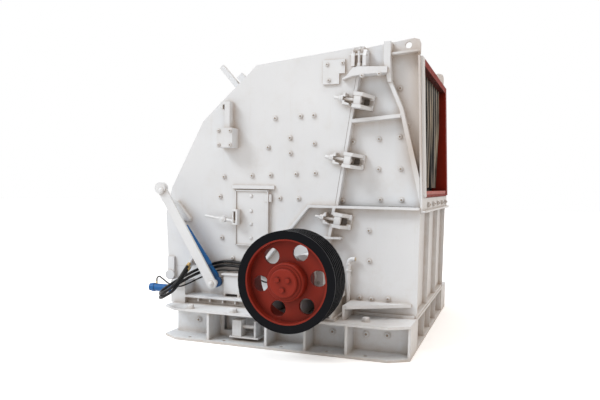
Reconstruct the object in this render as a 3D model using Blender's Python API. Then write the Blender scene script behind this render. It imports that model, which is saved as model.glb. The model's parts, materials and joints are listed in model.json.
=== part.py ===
"""Horizontal shaft impact crusher: welded base, hinged housing, rotor, aprons, clamps, doors and stays.

Metres. X runs from the rear frame to the feed mouth and is zero on the rotor's axis, Y runs from the
pulley side to the far side and is zero half way between the side plates, Z is up from the ground.
The empty "crusher" carries every piece and moves the whole so that the origin is below the middle of its box.
"""

import math

import bmesh
import bpy
from mathutils import Matrix, Vector

# Housing as a whole
HALF_WIDTH = 1.07
PLATE = 0.03
CLEAR = 0.0003
SEAM = 0.001
AXIS_HEIGHT = 0.74
RIGHT_WALL = 1.046

# Base frame
BASE_HEIGHT = 0.33
BASE_LEFT = -1.54
BASE_RIGHT = 1.05
BASE_FLANGE = 0.025
BASE_REACH = 0.48
BASE_INNER = 0.12
BASE_WEB = 0.03
BASE_WEB_OUT = 0.19
BASE_WEB_LEFT = -1.49
BASE_RIB = 0.025
BASE_RIB_REACH = 0.455
CHAMFER_LONG = 0.185
CHAMFER_SHORT = 0.12
BASE_RIBS_X = (-0.99, -0.355, 0.05, 0.461)
BASE_HOLES_X = (-1.22, -0.825, -0.205, 0.26, 0.64)
BASE_HOLE_OUT = 0.41
BASE_HOLE_RADIUS = 0.018
END_WEB_INSET = 0.075
END_RIBS_Y = (-0.47, 0.0, 0.47)
JACK_LEFT = -0.76
JACK_RIGHT = -0.50
JACK_OUT = 0.30

# Lower frame
LOWER_LEFT = -1.68
LEDGE_TOP = 1.41
LEDGE_PLATE = 0.025
LEDGE_REACH = 0.08
LEDGE_LEFT = -0.066
SLOPE_FOOT = (-0.55, 0.82)
SHAFT_LINE = 0.70
SHAFT_PORT = 0.16
FOOT_FLANGE = 0.14
LEG_LEFT = -1.57
LEG_RIGHT = -1.40
LEG_REACH = 0.20
LEG_TOP = 0.57
KICK_TOP = 0.42
KICK_RIGHT = -0.40
BOX_LEFT = -0.98
BOX_RIGHT = -0.80
BOX_REACH = 0.12
BOX_TOP = 0.665
SHELF_TOP = 0.47
SHELF_PLATE = 0.03
SHELF_REACH = 0.35
SHELF_LEFT = 0.39
SHELF_RIGHT = 0.99
END_WALL_INSET = 0.05
END_WALL_RIBS_Y = (-0.35, 0.35)
REAR_WALL_X = -1.53

# Feed mouth, which leans back towards its top
SILL = 1.50
MOUTH_BOTTOM = SILL - 0.14
MOUTH_LEAN = 0.0466
MOUTH_PLATE = 0.02
MOUTH_FRONT = RIGHT_WALL + MOUTH_PLATE
MOUTH_FRAME = 0.15
SILL_LIP = 0.03
LINER_DEPTH = 0.14
LINER_PLATE = 0.03

# Front frame
RECESS = 0.10
JOINT_AT_LEDGE = 0.197
JOINT_LEAN = 0.15
JOINT_FLANGE = 0.03
FRONT_TOP_LEFT = 2.95
MOUTH_TOP = FRONT_TOP_LEFT - 0.11
FRONT_TOP = FRONT_TOP_LEFT + 0.04
LUG_TOP = FRONT_TOP_LEFT + 0.07
LUG_FOOT = MOUTH_TOP + 0.02
LUG_RIGHT = 0.985
LUG_HOLE = (0.869, FRONT_TOP_LEFT + 0.008)
LUG_HOLE_RADIUS = 0.032

# Rear frame
REAR_TOP = (
    (-0.666, FRONT_TOP_LEFT - 0.12),
    (-1.285, FRONT_TOP_LEFT - 0.674),
    (-1.67, 1.567),
    (-1.75, 1.28),
)
REAR_FOOT = -1.722
SHELL_PLATE = 0.025
SHELL_INSET = 0.03
DOOR_LEFT = -0.89
DOOR_RIGHT = -0.51
DOOR_BOTTOM = 0.965
DOOR_TOP = 1.55
DOOR_PLATE = 0.025
DOOR_LAP = 0.03
HINGE_RADIUS = 0.014
REAR_HINGE = (-1.68, 0.60)
REAR_HINGE_RADIUS = 0.055
ADJUSTER_IN = 0.30

# Swing-bolt clamps
CLAMPS = (("upper", FRONT_TOP_LEFT - 0.51), ("middle", 1.868))
LOWER_CLAMP = 1.277
CLAMP_AXLE = 0.06
CLAMP_REACH = 0.12
CLAMP_START = 0.033
CLAMP_CROWN = 0.125
CLAMP_HEEL = 0.205
TOP_CLAMP_X = (0.345, 0.458)
TOP_CLAMP_CHEEK = 0.035

# Rotor
ROTOR_RADIUS = 0.64
ROTOR_HALF = 0.78
DISC_RADIUS = 0.57
DISC_THICKNESS = 0.09
DISC_COUNT = 5
DRUM_RADIUS = 0.33
SHAFT_RADIUS = 0.085
SHAFT_END_RADIUS = 0.075
BAR_COUNT = 4
BAR_THICKNESS = 0.11
BAR_DEPTH = 0.26

# Belt sheave
PULLEY_FRONT = 0.86
PULLEY_WIDTH = 0.33
PULLEY_RADIUS = 0.465
RIM_INNER = 0.39
WHEEL_INNER = 0.375
WEB_RECESS = 0.10
WEB_THICKNESS = 0.035
PULLEY_HUB = 0.175
PULLEY_GROOVES = 6
PULLEY_HOLES = 6
PULLEY_HOLE_PHASE = 8.0
PULLEY_HOLE_CIRCLE = 0.28
PULLEY_HOLE_RADIUS = 0.075
CAP_RADIUS = 0.13
COLLAR_RADIUS = 0.155
CAP_FRONT = 0.92

# Aprons and the ends of their shafts
APRON_PLATE = 0.08
APRON_SHAFT = 0.055
FRONT_SHAFT = (0.165, FRONT_TOP_LEFT - 0.235)
REAR_SHAFT = (-0.955, FRONT_TOP_LEFT - 0.865)

# Bearings
BEARING_IN = 0.09
BEARING_OUT = 0.39
BEARING_RADIUS = 0.2
PEDESTAL_TOP = 0.555

# Hydraulics
ARM_HEAD = (-1.665, 1.556)
ARM_PIVOT = (-1.064, 0.568)
ARM_HALF = 0.052
ARM_OUT = 0.215
ARM_PIN = 0.03
LIFT_OUT = 0.118
LIFT_RADIUS = 0.05
LIFT_TOP = (-1.456, 1.137)
LIFT_FOOT = (-1.162, 0.735)
CYLINDER_LEFT = -1.90
CYLINDER_HEIGHT = 0.455
CYLINDER_OUT = 0.09
CYLINDER_RADIUS = 0.042
PIPE_X = 0.365
VALVE_LEFT = -1.37
VALVE_PORT = (-1.33, 0.14, 0.813)
HOSE_END = (-1.325, 0.235, 0.765)
HOSE_PITCH = 0.042
MANIFOLD_LEFT = -0.45
MANIFOLD_OUT = 0.05
HOSE_RADIUS = 0.0155
THIN_HOSE_RADIUS = 0.008

SIDES = (("near", -1), ("far", 1))
CRUSHER_RIGHT = MOUTH_FRONT + SILL_LIP
SHIFT_X = -(CYLINDER_LEFT + CRUSHER_RIGHT) / 2
SHIFT_Y = (CAP_FRONT - BASE_REACH) / 2


def material(name, colour, roughness, metallic=0.0):
    made = bpy.data.materials.new(name)
    made.use_nodes = True
    shader = made.node_tree.nodes["Principled BSDF"]
    shader.inputs["Base Color"].default_value = (*colour, 1)
    shader.inputs["Roughness"].default_value = roughness
    shader.inputs["Metallic"].default_value = metallic
    made.diffuse_color = (*colour, 1)
    return made


def clear_scene():
    for item in list(bpy.data.objects):
        bpy.data.objects.remove(item, do_unlink=True)


def to_mesh(name, bm):
    bmesh.ops.recalc_face_normals(bm, faces=bm.faces)
    mesh = bpy.data.meshes.new(name)
    bm.to_mesh(mesh)
    bm.free()
    return mesh


def prism(outline, start, end, axis="y"):
    """A flat outline swept along one axis: (x, z) along y, (y, z) along x, (x, y) along z."""
    place = {
        "x": lambda a, b, c: (c, a, b),
        "y": lambda a, b, c: (a, c, b),
        "z": lambda a, b, c: (a, b, c),
    }[axis]
    bm = bmesh.new()
    face = bm.faces.new([bm.verts.new(place(a, b, start)) for a, b in outline])
    swept = bmesh.ops.extrude_face_region(bm, geom=[face])["geom"]
    step = Vector(place(0, 0, end)) - Vector(place(0, 0, start))
    bmesh.ops.translate(bm, verts=[v for v in swept if isinstance(v, bmesh.types.BMVert)], vec=step)
    return to_mesh("prism", bm)


def block(low, high):
    outline = ((low[0], low[2]), (high[0], low[2]), (high[0], high[2]), (low[0], high[2]))
    return prism(outline, low[1], high[1])


def turned(profile, centre, sides=32, axis="y"):
    """A closed (radius, along) profile spun about an axis through centre."""
    bm = bmesh.new()
    rings = []
    for radius, along in profile:
        if radius == 0:
            rings.append([bm.verts.new((0, 0, along))] * sides)
            continue
        turns = [2 * math.pi * k / sides for k in range(sides)]
        rings.append([bm.verts.new((radius * math.cos(t), radius * math.sin(t), along)) for t in turns])
    count = len(rings)
    hollow = profile[0][0] > 0 or profile[-1][0] > 0
    for i in range(count if hollow else count - 1):
        first, second = rings[i], rings[(i + 1) % count]
        for k in range(sides):
            corners = (first[k], first[(k + 1) % sides], second[(k + 1) % sides], second[k])
            unique = list(dict.fromkeys(corners))
            if len(unique) > 2:
                bm.faces.new(unique)
    quarter = math.pi / 2
    turn = {"y": Matrix.Rotation(-quarter, 4, "X"), "x": Matrix.Rotation(quarter, 4, "Y"), "z": Matrix()}
    bmesh.ops.transform(bm, matrix=Matrix.Translation(centre) @ turn[axis], verts=bm.verts)
    return to_mesh("turned", bm)


def rod(centre, radius, start, end, axis="y", sides=24):
    """A round bar: centre gives the other two coordinates, start and end the places along its axis."""
    return turned(((0, start), (radius, start), (radius, end), (0, end)), centre, sides, axis)


def bar_between(a, b, radius, sides=16):
    """A round bar from point a to point b."""
    a, b = Vector(a), Vector(b)
    mesh = rod((0, 0, 0), radius, 0, (b - a).length, "z", sides)
    turned = (b - a).to_track_quat("Z", "Y").to_matrix().to_4x4()
    mesh.transform(Matrix.Translation(a) @ turned)
    return mesh


def helper(name, mesh, group):
    item = bpy.data.objects.new(name, mesh)
    item.hide_render = True
    item.display_type = "WIRE"
    group.objects.link(item)
    return item


def node(name, finish, adds, cuts=(), parent=None, at=(0, 0, 0)):
    """One piece: the first mesh, the others joined to it, and the cuts taken away, in crusher space."""
    move = Matrix.Translation(-Vector(at))
    body = bpy.data.objects.new(name, adds[0])
    bpy.context.scene.collection.objects.link(body)
    for operation, meshes in (("UNION", adds[1:]), ("DIFFERENCE", cuts)):
        if not meshes:
            continue
        group = bpy.data.collections.new(f"{name}_{operation.lower()}")
        bpy.context.scene.collection.children.link(group)
        for k, mesh in enumerate(meshes):
            helper(f"{name}_{operation.lower()}_{k}", mesh, group).parent = body
        boolean = body.modifiers.new(operation.title(), "BOOLEAN")
        boolean.operation = operation
        boolean.operand_type = "COLLECTION"
        boolean.collection = group
        boolean.solver = "EXACT"
    for mesh in (*adds, *cuts):
        mesh.transform(move)
    body.data.name = name
    body.data.materials.append(finish)
    body.parent = parent
    return body


def out(side, *distances):
    """Y places at these distances out from a side plate's outer face, lowest first."""
    return sorted(side * (HALF_WIDTH + d) for d in distances)


def joint_x(z):
    """The inclined joint between the rear and front frames."""
    return JOINT_AT_LEDGE + JOINT_LEAN * (z - LEDGE_TOP)


def strip(a, b, thickness):
    """The outline of a straight bar from a to b, with its thickness to the right of that line."""
    along = (Vector(b) - Vector(a)).normalized()
    aside = Vector((along.y, -along.x)) * thickness
    return (tuple(a), tuple(b), tuple(Vector(b) + aside), tuple(Vector(a) + aside))


def offset_chain(points, distance):
    """An open chain of points moved to its right, with mitred corners."""
    points = [Vector(p) for p in points]
    moved = []
    for i, point in enumerate(points):
        before = (point - points[i - 1]).normalized() if i else None
        after = (points[i + 1] - point).normalized() if i + 1 < len(points) else None
        first, second = before or after, after or before
        normal = Vector((first.y, -first.x)) + Vector((second.y, -second.x))
        normal.normalize()
        reach = distance / normal.dot(Vector((first.y, -first.x)))
        moved.append(tuple(point + normal * reach))
    return moved


# Base frame


def base_plan(side):
    """The flange's outline from above: straight front edge, chamfered corners."""
    inner = side * (HALF_WIDTH - BASE_INNER)
    front = side * (HALF_WIDTH + BASE_REACH)
    corner = side * (HALF_WIDTH + BASE_REACH - CHAMFER_SHORT)
    return (
        (BASE_LEFT, inner),
        (BASE_RIGHT, inner),
        (BASE_RIGHT, corner),
        (BASE_RIGHT - CHAMFER_LONG, front),
        (BASE_LEFT + CHAMFER_LONG, front),
        (BASE_LEFT, corner),
    )


def base_beam(label, side, finish, parent):
    """An I-beam with stiffening ribs; one bay's web is open for the jack screw that opens the housing."""
    low, high = 0.0, BASE_HEIGHT
    web_low, web_high = out(side, BASE_WEB_OUT - BASE_WEB, BASE_WEB_OUT)
    sink = BASE_FLANGE / 2
    adds = [
        prism(base_plan(side), low, low + BASE_FLANGE, "z"),
        prism(base_plan(side), high - BASE_FLANGE, high, "z"),
        block((BASE_WEB_LEFT, web_low, sink), (BASE_RIGHT - 0.01, web_high, high - sink)),
    ]
    for x in BASE_RIBS_X:
        y_low, y_high = out(side, -0.08, BASE_RIB_REACH)
        adds.append(block((x - BASE_RIB / 2, y_low, sink), (x + BASE_RIB / 2, y_high, high - sink)))
    y_low, y_high = out(side, -0.08, BASE_REACH - CHAMFER_SHORT - 0.005)
    adds.append(block((BASE_RIGHT - BASE_RIB, y_low, sink), (BASE_RIGHT - 0.001, y_high, high - sink)))
    jack_low, jack_high = out(side, JACK_OUT - 0.06, JACK_OUT + 0.06)
    tray_low, tray_high = out(side, BASE_WEB_OUT - BASE_WEB / 2, JACK_OUT + 0.07)
    adds += [
        block((JACK_LEFT - 0.03, tray_low, 0.055), (JACK_RIGHT + 0.03, tray_high, 0.07)),
        block((JACK_LEFT, jack_low, 0.06), (JACK_LEFT + 0.1, jack_high, 0.235)),
        block((JACK_RIGHT - 0.02, jack_low, 0.06), (JACK_RIGHT, jack_high, 0.235)),
        rod((0, side * (HALF_WIDTH + JACK_OUT), 0.165), 0.02, JACK_LEFT + 0.05, JACK_RIGHT - 0.01, "x", 12),
    ]
    cuts = [
        rod((x, side * (HALF_WIDTH + BASE_HOLE_OUT), 0), BASE_HOLE_RADIUS, -0.01, BASE_FLANGE + 0.01, "z", 12)
        for x in BASE_HOLES_X
    ]
    gap_left, gap_right = BASE_RIBS_X[0] + 0.05, BASE_RIBS_X[1] - 0.05
    cuts.append(block((gap_left, web_low - 0.01, 0.08), (gap_right, web_high + 0.01, BASE_HEIGHT - 0.045)))
    node(f"base_beam_{label}", finish, adds, cuts, parent)


def base_end(name, x_edge, inward, finish, parent):
    """The cross beam at one end; inward is the X direction from its edge into the base."""
    half = HALF_WIDTH - BASE_INNER - CLEAR
    web = sorted((x_edge + inward * END_WEB_INSET, x_edge + inward * (END_WEB_INSET + BASE_WEB)))
    flange = sorted((x_edge, x_edge + inward * 0.2))
    rib = sorted((x_edge + inward * 0.012, x_edge + inward * (END_WEB_INSET + 0.01)))
    sink = BASE_FLANGE / 2
    adds = [
        block((flange[0], -half, 0), (flange[1], half, BASE_FLANGE)),
        block((flange[0], -half, BASE_HEIGHT - BASE_FLANGE), (flange[1], half, BASE_HEIGHT)),
        block((web[0], -half, sink), (web[1], half, BASE_HEIGHT - sink)),
    ]
    for y in END_RIBS_Y:
        adds.append(block((rib[0], y - BASE_RIB / 2, sink), (rib[1], y + BASE_RIB / 2, BASE_HEIGHT - sink)))
    node(name, finish, adds, (), parent)


# Lower frame


def mouth_back(z):
    """The back face of the leaning mouth frame."""
    return RIGHT_WALL - MOUTH_LEAN * (z - MOUTH_BOTTOM)


def leaned(mesh):
    """Shears an upright mesh so that it leans back with the mouth."""
    shear = Matrix.Identity(4)
    shear[0][2] = -MOUTH_LEAN
    shear[0][3] = MOUTH_LEAN * MOUTH_BOTTOM
    mesh.transform(shear)
    return mesh


def lower_side(label, side, finish, parent):
    """Side plate with its ledge, hinge leg, kick flange, box bracket, shelf and lowest clamp's seat."""
    low = BASE_HEIGHT + CLEAR
    ledge_end = mouth_back(LEDGE_TOP) - CLEAR
    plate = (
        (LEG_LEFT - 0.03, low),
        (RIGHT_WALL, low),
        (RIGHT_WALL, MOUTH_BOTTOM - 0.005),
        (ledge_end, MOUTH_BOTTOM - 0.005),
        (ledge_end, LEDGE_TOP - 0.01),
        (LEDGE_LEFT, LEDGE_TOP - 0.01),
        (SLOPE_FOOT[0], SLOPE_FOOT[1] - 0.01),
        (SLOPE_FOOT[0] - 0.08, SHAFT_LINE),
        (LOWER_LEFT, SHAFT_LINE),
        (LOWER_LEFT, low + 0.08),
    )
    ledge = [(ledge_end, LEDGE_TOP), (LEDGE_LEFT, LEDGE_TOP), SLOPE_FOOT]
    under = offset_chain(ledge, -LEDGE_PLATE)
    joint_top = LEDGE_TOP - LEDGE_PLATE / 2
    joint_foot = 0.95
    joint = (
        (joint_x(joint_foot), joint_foot),
        (joint_x(joint_foot) + JOINT_FLANGE, joint_foot),
        (joint_x(joint_top) + JOINT_FLANGE, joint_top),
        (joint_x(joint_top), joint_top),
    )
    shelf_inner = side * (HALF_WIDTH - PLATE / 2)
    shelf = (
        (SHELF_LEFT, shelf_inner),
        (SHELF_RIGHT, shelf_inner),
        (SHELF_RIGHT, side * (HALF_WIDTH + 0.03)),
        (SHELF_LEFT + 0.05, side * (HALF_WIDTH + SHELF_REACH)),
        (SHELF_LEFT, side * (HALF_WIDTH + SHELF_REACH)),
    )
    foot_low, foot_high = out(side, -PLATE / 2, FOOT_FLANGE)
    toe_low, toe_high = out(side, -PLATE / 2, 0.03)
    leg_low, leg_high = out(side, -PLATE / 2, LEG_REACH)
    box_low, box_high = out(side, -PLATE / 2, BOX_REACH)
    lid_low, lid_high = out(side, -PLATE / 2, BOX_REACH + 0.02)
    face_low, face_high = out(side, BOX_REACH - 0.02, BOX_REACH)
    hollow_low, hollow_high = out(side, 0, LEG_REACH - 0.02)
    gusset_low, gusset_high = out(side, -PLATE / 2, SHELF_REACH)
    bar_low, bar_high = out(side, -PLATE / 2, LEDGE_REACH + 0.03)
    adds = [
        prism(plate, *out(side, 0, -PLATE)),
        prism(ledge + under[::-1], *out(side, -PLATE, LEDGE_REACH)),
        prism(joint, *out(side, -PLATE / 2, LEDGE_REACH)),
        block((0.11, bar_low, 1.08), (0.29, bar_high, 1.1)),
        prism(shelf, SHELF_TOP - SHELF_PLATE, SHELF_TOP, "z"),
        block((SHELF_LEFT, gusset_low, low), (SHELF_LEFT + 0.025, gusset_high, SHELF_TOP - 0.01)),
        block((SHELF_LEFT + 0.01, toe_low, low), (RIGHT_WALL - 0.02, toe_high, low + 0.03)),
        block((LEG_LEFT + 0.01, foot_low, low), (KICK_RIGHT, foot_high, low + 0.025)),
        block((LEG_LEFT, leg_low, KICK_TOP - 0.025), (KICK_RIGHT, leg_high, KICK_TOP)),
        block((LEG_LEFT, leg_low, low), (LEG_RIGHT, leg_high, LEG_TOP)),
        block((BOX_LEFT - 0.02, lid_low, BOX_TOP - 0.015), (BOX_RIGHT + 0.02, lid_high, BOX_TOP)),
        block((BOX_LEFT, box_low, KICK_TOP - 0.01), (BOX_LEFT + 0.02, box_high, BOX_TOP - 0.005)),
        block((BOX_RIGHT - 0.02, box_low, KICK_TOP - 0.01), (BOX_RIGHT, box_high, BOX_TOP - 0.005)),
        block((BOX_LEFT + 0.01, face_low, KICK_TOP + 0.03), (BOX_RIGHT - 0.01, face_high, BOX_TOP - 0.005)),
    ]
    seat, slot = clamp_seat(side, LOWER_CLAMP)
    passage = block((-0.02, *out(side, 0.02, 0.2)[:1], -0.045), (0.06, *out(side, 0.02, 0.2)[1:], 0.045))
    passage.transform(square_to_joint(LOWER_CLAMP))
    hollow = block((LEG_LEFT + 0.02, hollow_low, low - 0.1), (LEG_RIGHT - 0.02, hollow_high, LEG_TOP - 0.02))
    cuts = [rod((0, 0, AXIS_HEIGHT), SHAFT_PORT, *out(side, -0.1, 0.1)), slot, passage, hollow]
    node(f"lower_side_{label}", finish, adds + seat, cuts, parent)


def lower_front_wall(finish, parent):
    """The ribbed wall under the feed mouth."""
    half = HALF_WIDTH - PLATE - CLEAR
    low, high = BASE_HEIGHT + CLEAR, MOUTH_BOTTOM - CLEAR
    face = RIGHT_WALL - END_WALL_INSET
    adds = [block((face - PLATE, -half, low), (face, half, high))]
    for y in END_WALL_RIBS_Y:
        adds.append(block((face - 0.01, y - 0.012, low), (RIGHT_WALL - 0.004, y + 0.012, high)))
    adds.append(block((face - 0.01, -half, low), (RIGHT_WALL - 0.004, half, low + 0.025)))
    node("lower_front_wall", finish, adds, (), parent)


def lower_rear_wall(finish, parent):
    """The rear wall with its foot and the ledge that closes the gap below the rear frame's shell."""
    half = HALF_WIDTH - PLATE - CLEAR
    low = BASE_HEIGHT + CLEAR
    x = REAR_WALL_X
    adds = [
        block((x, -half, low), (x + PLATE, half, SHAFT_LINE - 0.01)),
        block((x - 0.005, -half, low), (x + 0.1, half, low + 0.03)),
        block((REAR_FOOT + 0.05, -half, SHAFT_LINE - 0.03), (x + 0.01, half, SHAFT_LINE - 0.005)),
    ]
    node("lower_rear_wall", finish, adds, (), parent)


def bearing_pedestal(label, side, finish, parent):
    low = BASE_HEIGHT + CLEAR
    near, far = out(side, CLEAR, SHELF_REACH + 0.09)
    adds = [
        block((-0.34, near, PEDESTAL_TOP - 0.035), (0.34, far, PEDESTAL_TOP)),
        block((-0.34, near, low), (0.34, far, low + 0.025)),
    ]
    for x in (-0.30, 0.0, 0.30):
        adds.append(block((x - 0.0125, near, low + 0.01), (x + 0.0125, far, PEDESTAL_TOP - 0.01)))
    node(f"bearing_pedestal_{label}", finish, adds, (), parent)


def bearing_housing(label, side, finish, parent):
    """A split pillow block: foot, round body and a bore for the shaft."""
    low = PEDESTAL_TOP + CLEAR
    body = [(0.3, low), (0.3, low + 0.045), (BEARING_RADIUS, low + 0.06), (BEARING_RADIUS, AXIS_HEIGHT)]
    for k in range(1, 12):
        turn = math.pi * k / 12
        body.append((BEARING_RADIUS * math.cos(turn), AXIS_HEIGHT + BEARING_RADIUS * math.sin(turn)))
    body += [(-BEARING_RADIUS, AXIS_HEIGHT), (-BEARING_RADIUS, low + 0.06), (-0.3, low + 0.045), (-0.3, low)]
    split = AXIS_HEIGHT
    flange = ((0.27, split - 0.03), (0.27, split + 0.03), (-0.27, split + 0.03), (-0.27, split - 0.03))
    adds = [
        prism(body, *out(side, BEARING_IN + 0.03, BEARING_OUT - 0.03)),
        prism(flange, *out(side, BEARING_IN + 0.08, BEARING_OUT - 0.08)),
        rod((0, 0, AXIS_HEIGHT), 0.13, *out(side, BEARING_IN, BEARING_OUT), sides=32),
    ]
    cuts = [rod((0, 0, AXIS_HEIGHT), SHAFT_RADIUS + 0.0005, *out(side, 0, 0.5), sides=32)]
    node(f"bearing_housing_{label}", finish, adds, cuts, parent)


# Front frame


def front_side(label, side, finish, parent):
    """The recessed feed side plate with its ribs, joint flange, arched shelf and lifting lug."""
    low = LEDGE_TOP + CLEAR
    top_left = joint_x(FRONT_TOP_LEFT)
    plate = (
        (joint_x(low) + SEAM, low),
        (mouth_back(low) - CLEAR, low),
        (mouth_back(LUG_FOOT) - CLEAR, LUG_FOOT),
        (LUG_RIGHT, LUG_FOOT + 0.015),
        (LUG_RIGHT, LUG_TOP - 0.05),
        (LUG_RIGHT - 0.015, LUG_TOP - 0.015),
        (LUG_RIGHT - 0.06, LUG_TOP),
        (0.70, FRONT_TOP),
        (top_left + SEAM, FRONT_TOP_LEFT),
    )
    joint = (
        (joint_x(low) + SEAM, low),
        (joint_x(low) + SEAM + JOINT_FLANGE, low),
        (top_left + SEAM + JOINT_FLANGE, FRONT_TOP_LEFT),
        (top_left + SEAM, FRONT_TOP_LEFT),
    )
    back, face = -RECESS - PLATE / 2, -0.002
    inclined = (
        (0.70, 2.60),
        (0.817, 2.343),
        (1.008, 1.57),
        (mouth_back(1.43) - 0.002, 1.43),
        (mouth_back(1.69) - 0.002, 1.69),
        (0.852, 2.352),
        (0.735, 2.61),
    )
    mid = ((0.34, 2.225), (0.83, 2.265), (0.83, 2.30), (0.335, 2.26))
    shelf = FRONT_TOP_LEFT - 0.20
    under = [(0.70, shelf - 0.068), (0.56, shelf - 0.071), (0.461, shelf - 0.076), (0.40, shelf - 0.082)]
    arched = [(0.40, shelf + 0.003), (0.70, shelf - 0.012), *under]
    nose = (
        (0.44, shelf - 0.078),
        (0.44, shelf),
        (0.365, shelf - 0.005),
        (0.30, shelf - 0.085),
        (0.262, shelf - 0.105),
        (0.262, shelf - 0.117),
        (0.36, shelf - 0.086),
    )
    bar = (
        (0.655, FRONT_TOP - 0.012),
        (0.655, shelf + 0.05),
        (0.70, 2.60),
        (0.735, 2.60),
        (0.721, shelf + 0.05),
    )
    bar += ((0.721, FRONT_TOP - 0.012),)
    rib = FRONT_TOP_LEFT - 0.095
    adds = [
        prism(plate, *out(side, -RECESS, -RECESS - PLATE)),
        prism(joint, *out(side, back, face)),
        prism(inclined, *out(side, back, face)),
        prism(mid, *out(side, back, face)),
        prism(arched, *out(side, back, 0.06)),
        prism(nose, *out(side, 0.004, 0.06)),
        prism(bar, *out(side, back, 0.02)),
        prism(
            ((0.70, rib), (0.975, rib + 0.02), (0.975, rib + 0.04), (0.70, rib + 0.02)),
            *out(side, back, face),
        ),
    ]
    cuts = [rod((LUG_HOLE[0], 0, LUG_HOLE[1]), LUG_HOLE_RADIUS, *out(side, 0, -RECESS - 0.1), sides=20)]
    node(f"front_side_{label}", finish, adds, cuts, parent)


def front_roof(finish, parent):
    half = HALF_WIDTH - RECESS - PLATE - CLEAR
    top, end = FRONT_TOP_LEFT - 0.05, MOUTH_TOP - 0.01
    line = [(joint_x(top) + SEAM, top), (0.70, top + 0.01), (mouth_back(end) - SEAM, end)]
    outline = line + offset_chain(line, SHELL_PLATE)[::-1]
    node("front_roof", finish, [prism(outline, -half, half)], (), parent)


def mouth_flange(finish, parent):
    """The bolted frame round the feed mouth, with a lip under its sill."""
    half = HALF_WIDTH - 0.004
    inner = HALF_WIDTH - MOUTH_FRAME
    adds = [
        block((RIGHT_WALL, -half, MOUTH_BOTTOM), (MOUTH_FRONT, half, MOUTH_TOP)),
        block((RIGHT_WALL + 0.005, -half, MOUTH_BOTTOM), (MOUTH_FRONT + SILL_LIP, half, MOUTH_BOTTOM + 0.02)),
    ]
    cuts = [block((RIGHT_WALL - 0.1, -inner, SILL), (MOUTH_FRONT + 0.1, inner, MOUTH_TOP - 0.04))]
    node("mouth_flange", finish, [leaned(mesh) for mesh in adds], [leaned(mesh) for mesh in cuts], parent)


def mouth_liner(finish, parent):
    """The red box that lines the mouth, with a thin lip over the flange."""
    half = HALF_WIDTH - MOUTH_FRAME - CLEAR
    low, high = SILL + CLEAR, MOUTH_TOP - 0.04 - CLEAR
    lip = HALF_WIDTH - 0.05
    adds = [
        block((RIGHT_WALL - LINER_DEPTH, -half, low), (MOUTH_FRONT + 0.01, half, high)),
        block((MOUTH_FRONT + CLEAR, -lip, SILL + 0.01), (MOUTH_FRONT + 0.018, lip, MOUTH_TOP)),
    ]
    wall = LINER_PLATE
    cuts = [block((0.8, -half + wall, low + wall), (MOUTH_FRONT + 0.1, half - wall, high - wall))]
    node("mouth_liner", finish, [leaned(mesh) for mesh in adds], [leaned(mesh) for mesh in cuts], parent)


def feed_curtain(finish, parent):
    """Hanging rubber strips, joined at their top band."""
    half = HALF_WIDTH - MOUTH_FRAME - LINER_PLATE - 0.02
    strips = 9
    width = 2 * half / strips
    low, high = SILL + 0.08, MOUTH_TOP - 0.04 - LINER_PLATE - 2 * CLEAR
    back = RIGHT_WALL - 0.111
    cuts = []
    for k in range(1, strips):
        y = -half + k * width
        cuts.append(block((back - 0.03, y - 0.006, low - 0.1), (back + 0.05, y + 0.006, high - 0.12)))
    node("feed_curtain", finish, [block((back, -half, low), (back + 0.014, half, high))], cuts, parent)


def feed_plate(finish, parent):
    half = HALF_WIDTH - RECESS - PLATE - CLEAR
    outline = strip((RIGHT_WALL - LINER_DEPTH - 0.02, SILL), (0.62, SILL - 0.22), 0.04)
    node("feed_plate", finish, [prism(outline, -half, half)], (), parent)


# Rear frame


def rear_outline(low):
    """The corners from the joint's top round the back to the hinge side."""
    top = joint_x(FRONT_TOP_LEFT) - SEAM
    return [(top, FRONT_TOP_LEFT), *REAR_TOP, (REAR_FOOT, low)]


def rear_side(label, side, finish, parent):
    """Rear side plate with its hinge lug, lift cylinder's bracket, door opening and two clamp seats."""
    low = SHAFT_LINE + SEAM
    lug_low, lug_high = out(side, SEAM, 0.03)
    skin = out(side, -0.01, 0.03)
    bracket = ((-1.60, 1.42), (-1.58, 1.42), (-1.42, 1.23), (-1.42, 1.205), (-1.60, 1.205))
    slope = offset_chain([(LEDGE_LEFT, LEDGE_TOP), SLOPE_FOOT], SEAM)
    seat = LEDGE_TOP + SEAM
    plate = rear_outline(low) + [
        (SLOPE_FOOT[0] - 0.085, low),
        (slope[1][0] - 0.03, slope[1][1] - 0.025),
        (slope[1][0], slope[1][1]),
        (LEDGE_LEFT - 0.003, seat),
        (joint_x(seat) - SEAM, seat),
    ]
    adds = [
        prism(plate, *out(side, 0, -PLATE)),
        block((-0.93, skin[0], DOOR_TOP + 0.012), (-0.45, skin[1], 1.60)),
        rod((REAR_HINGE[0], 0, REAR_HINGE[1]), REAR_HINGE_RADIUS, *out(side, SEAM, 0.05)),
        block((-1.715, lug_low, REAR_HINGE[1]), (-1.635, lug_high, low + 0.03)),
        block((-1.715, skin[0], low + 0.015), (-1.635, skin[1], low + 0.1)),
        prism(bracket, *out(side, -0.01, 0.075)),
    ]
    opening = block(
        (DOOR_LEFT + DOOR_LAP, *out(side, -0.1, 0.1)[:1], DOOR_BOTTOM + DOOR_LAP),
        (DOOR_RIGHT - DOOR_LAP, *out(side, -0.1, 0.1)[1:], DOOR_TOP - DOOR_LAP),
    )
    cuts = [opening]
    for _, z in CLAMPS:
        seat, slot = clamp_seat(side, z)
        adds += seat
        cuts.append(slot)
    node(f"rear_side_{label}", finish, adds, cuts, parent)


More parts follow.
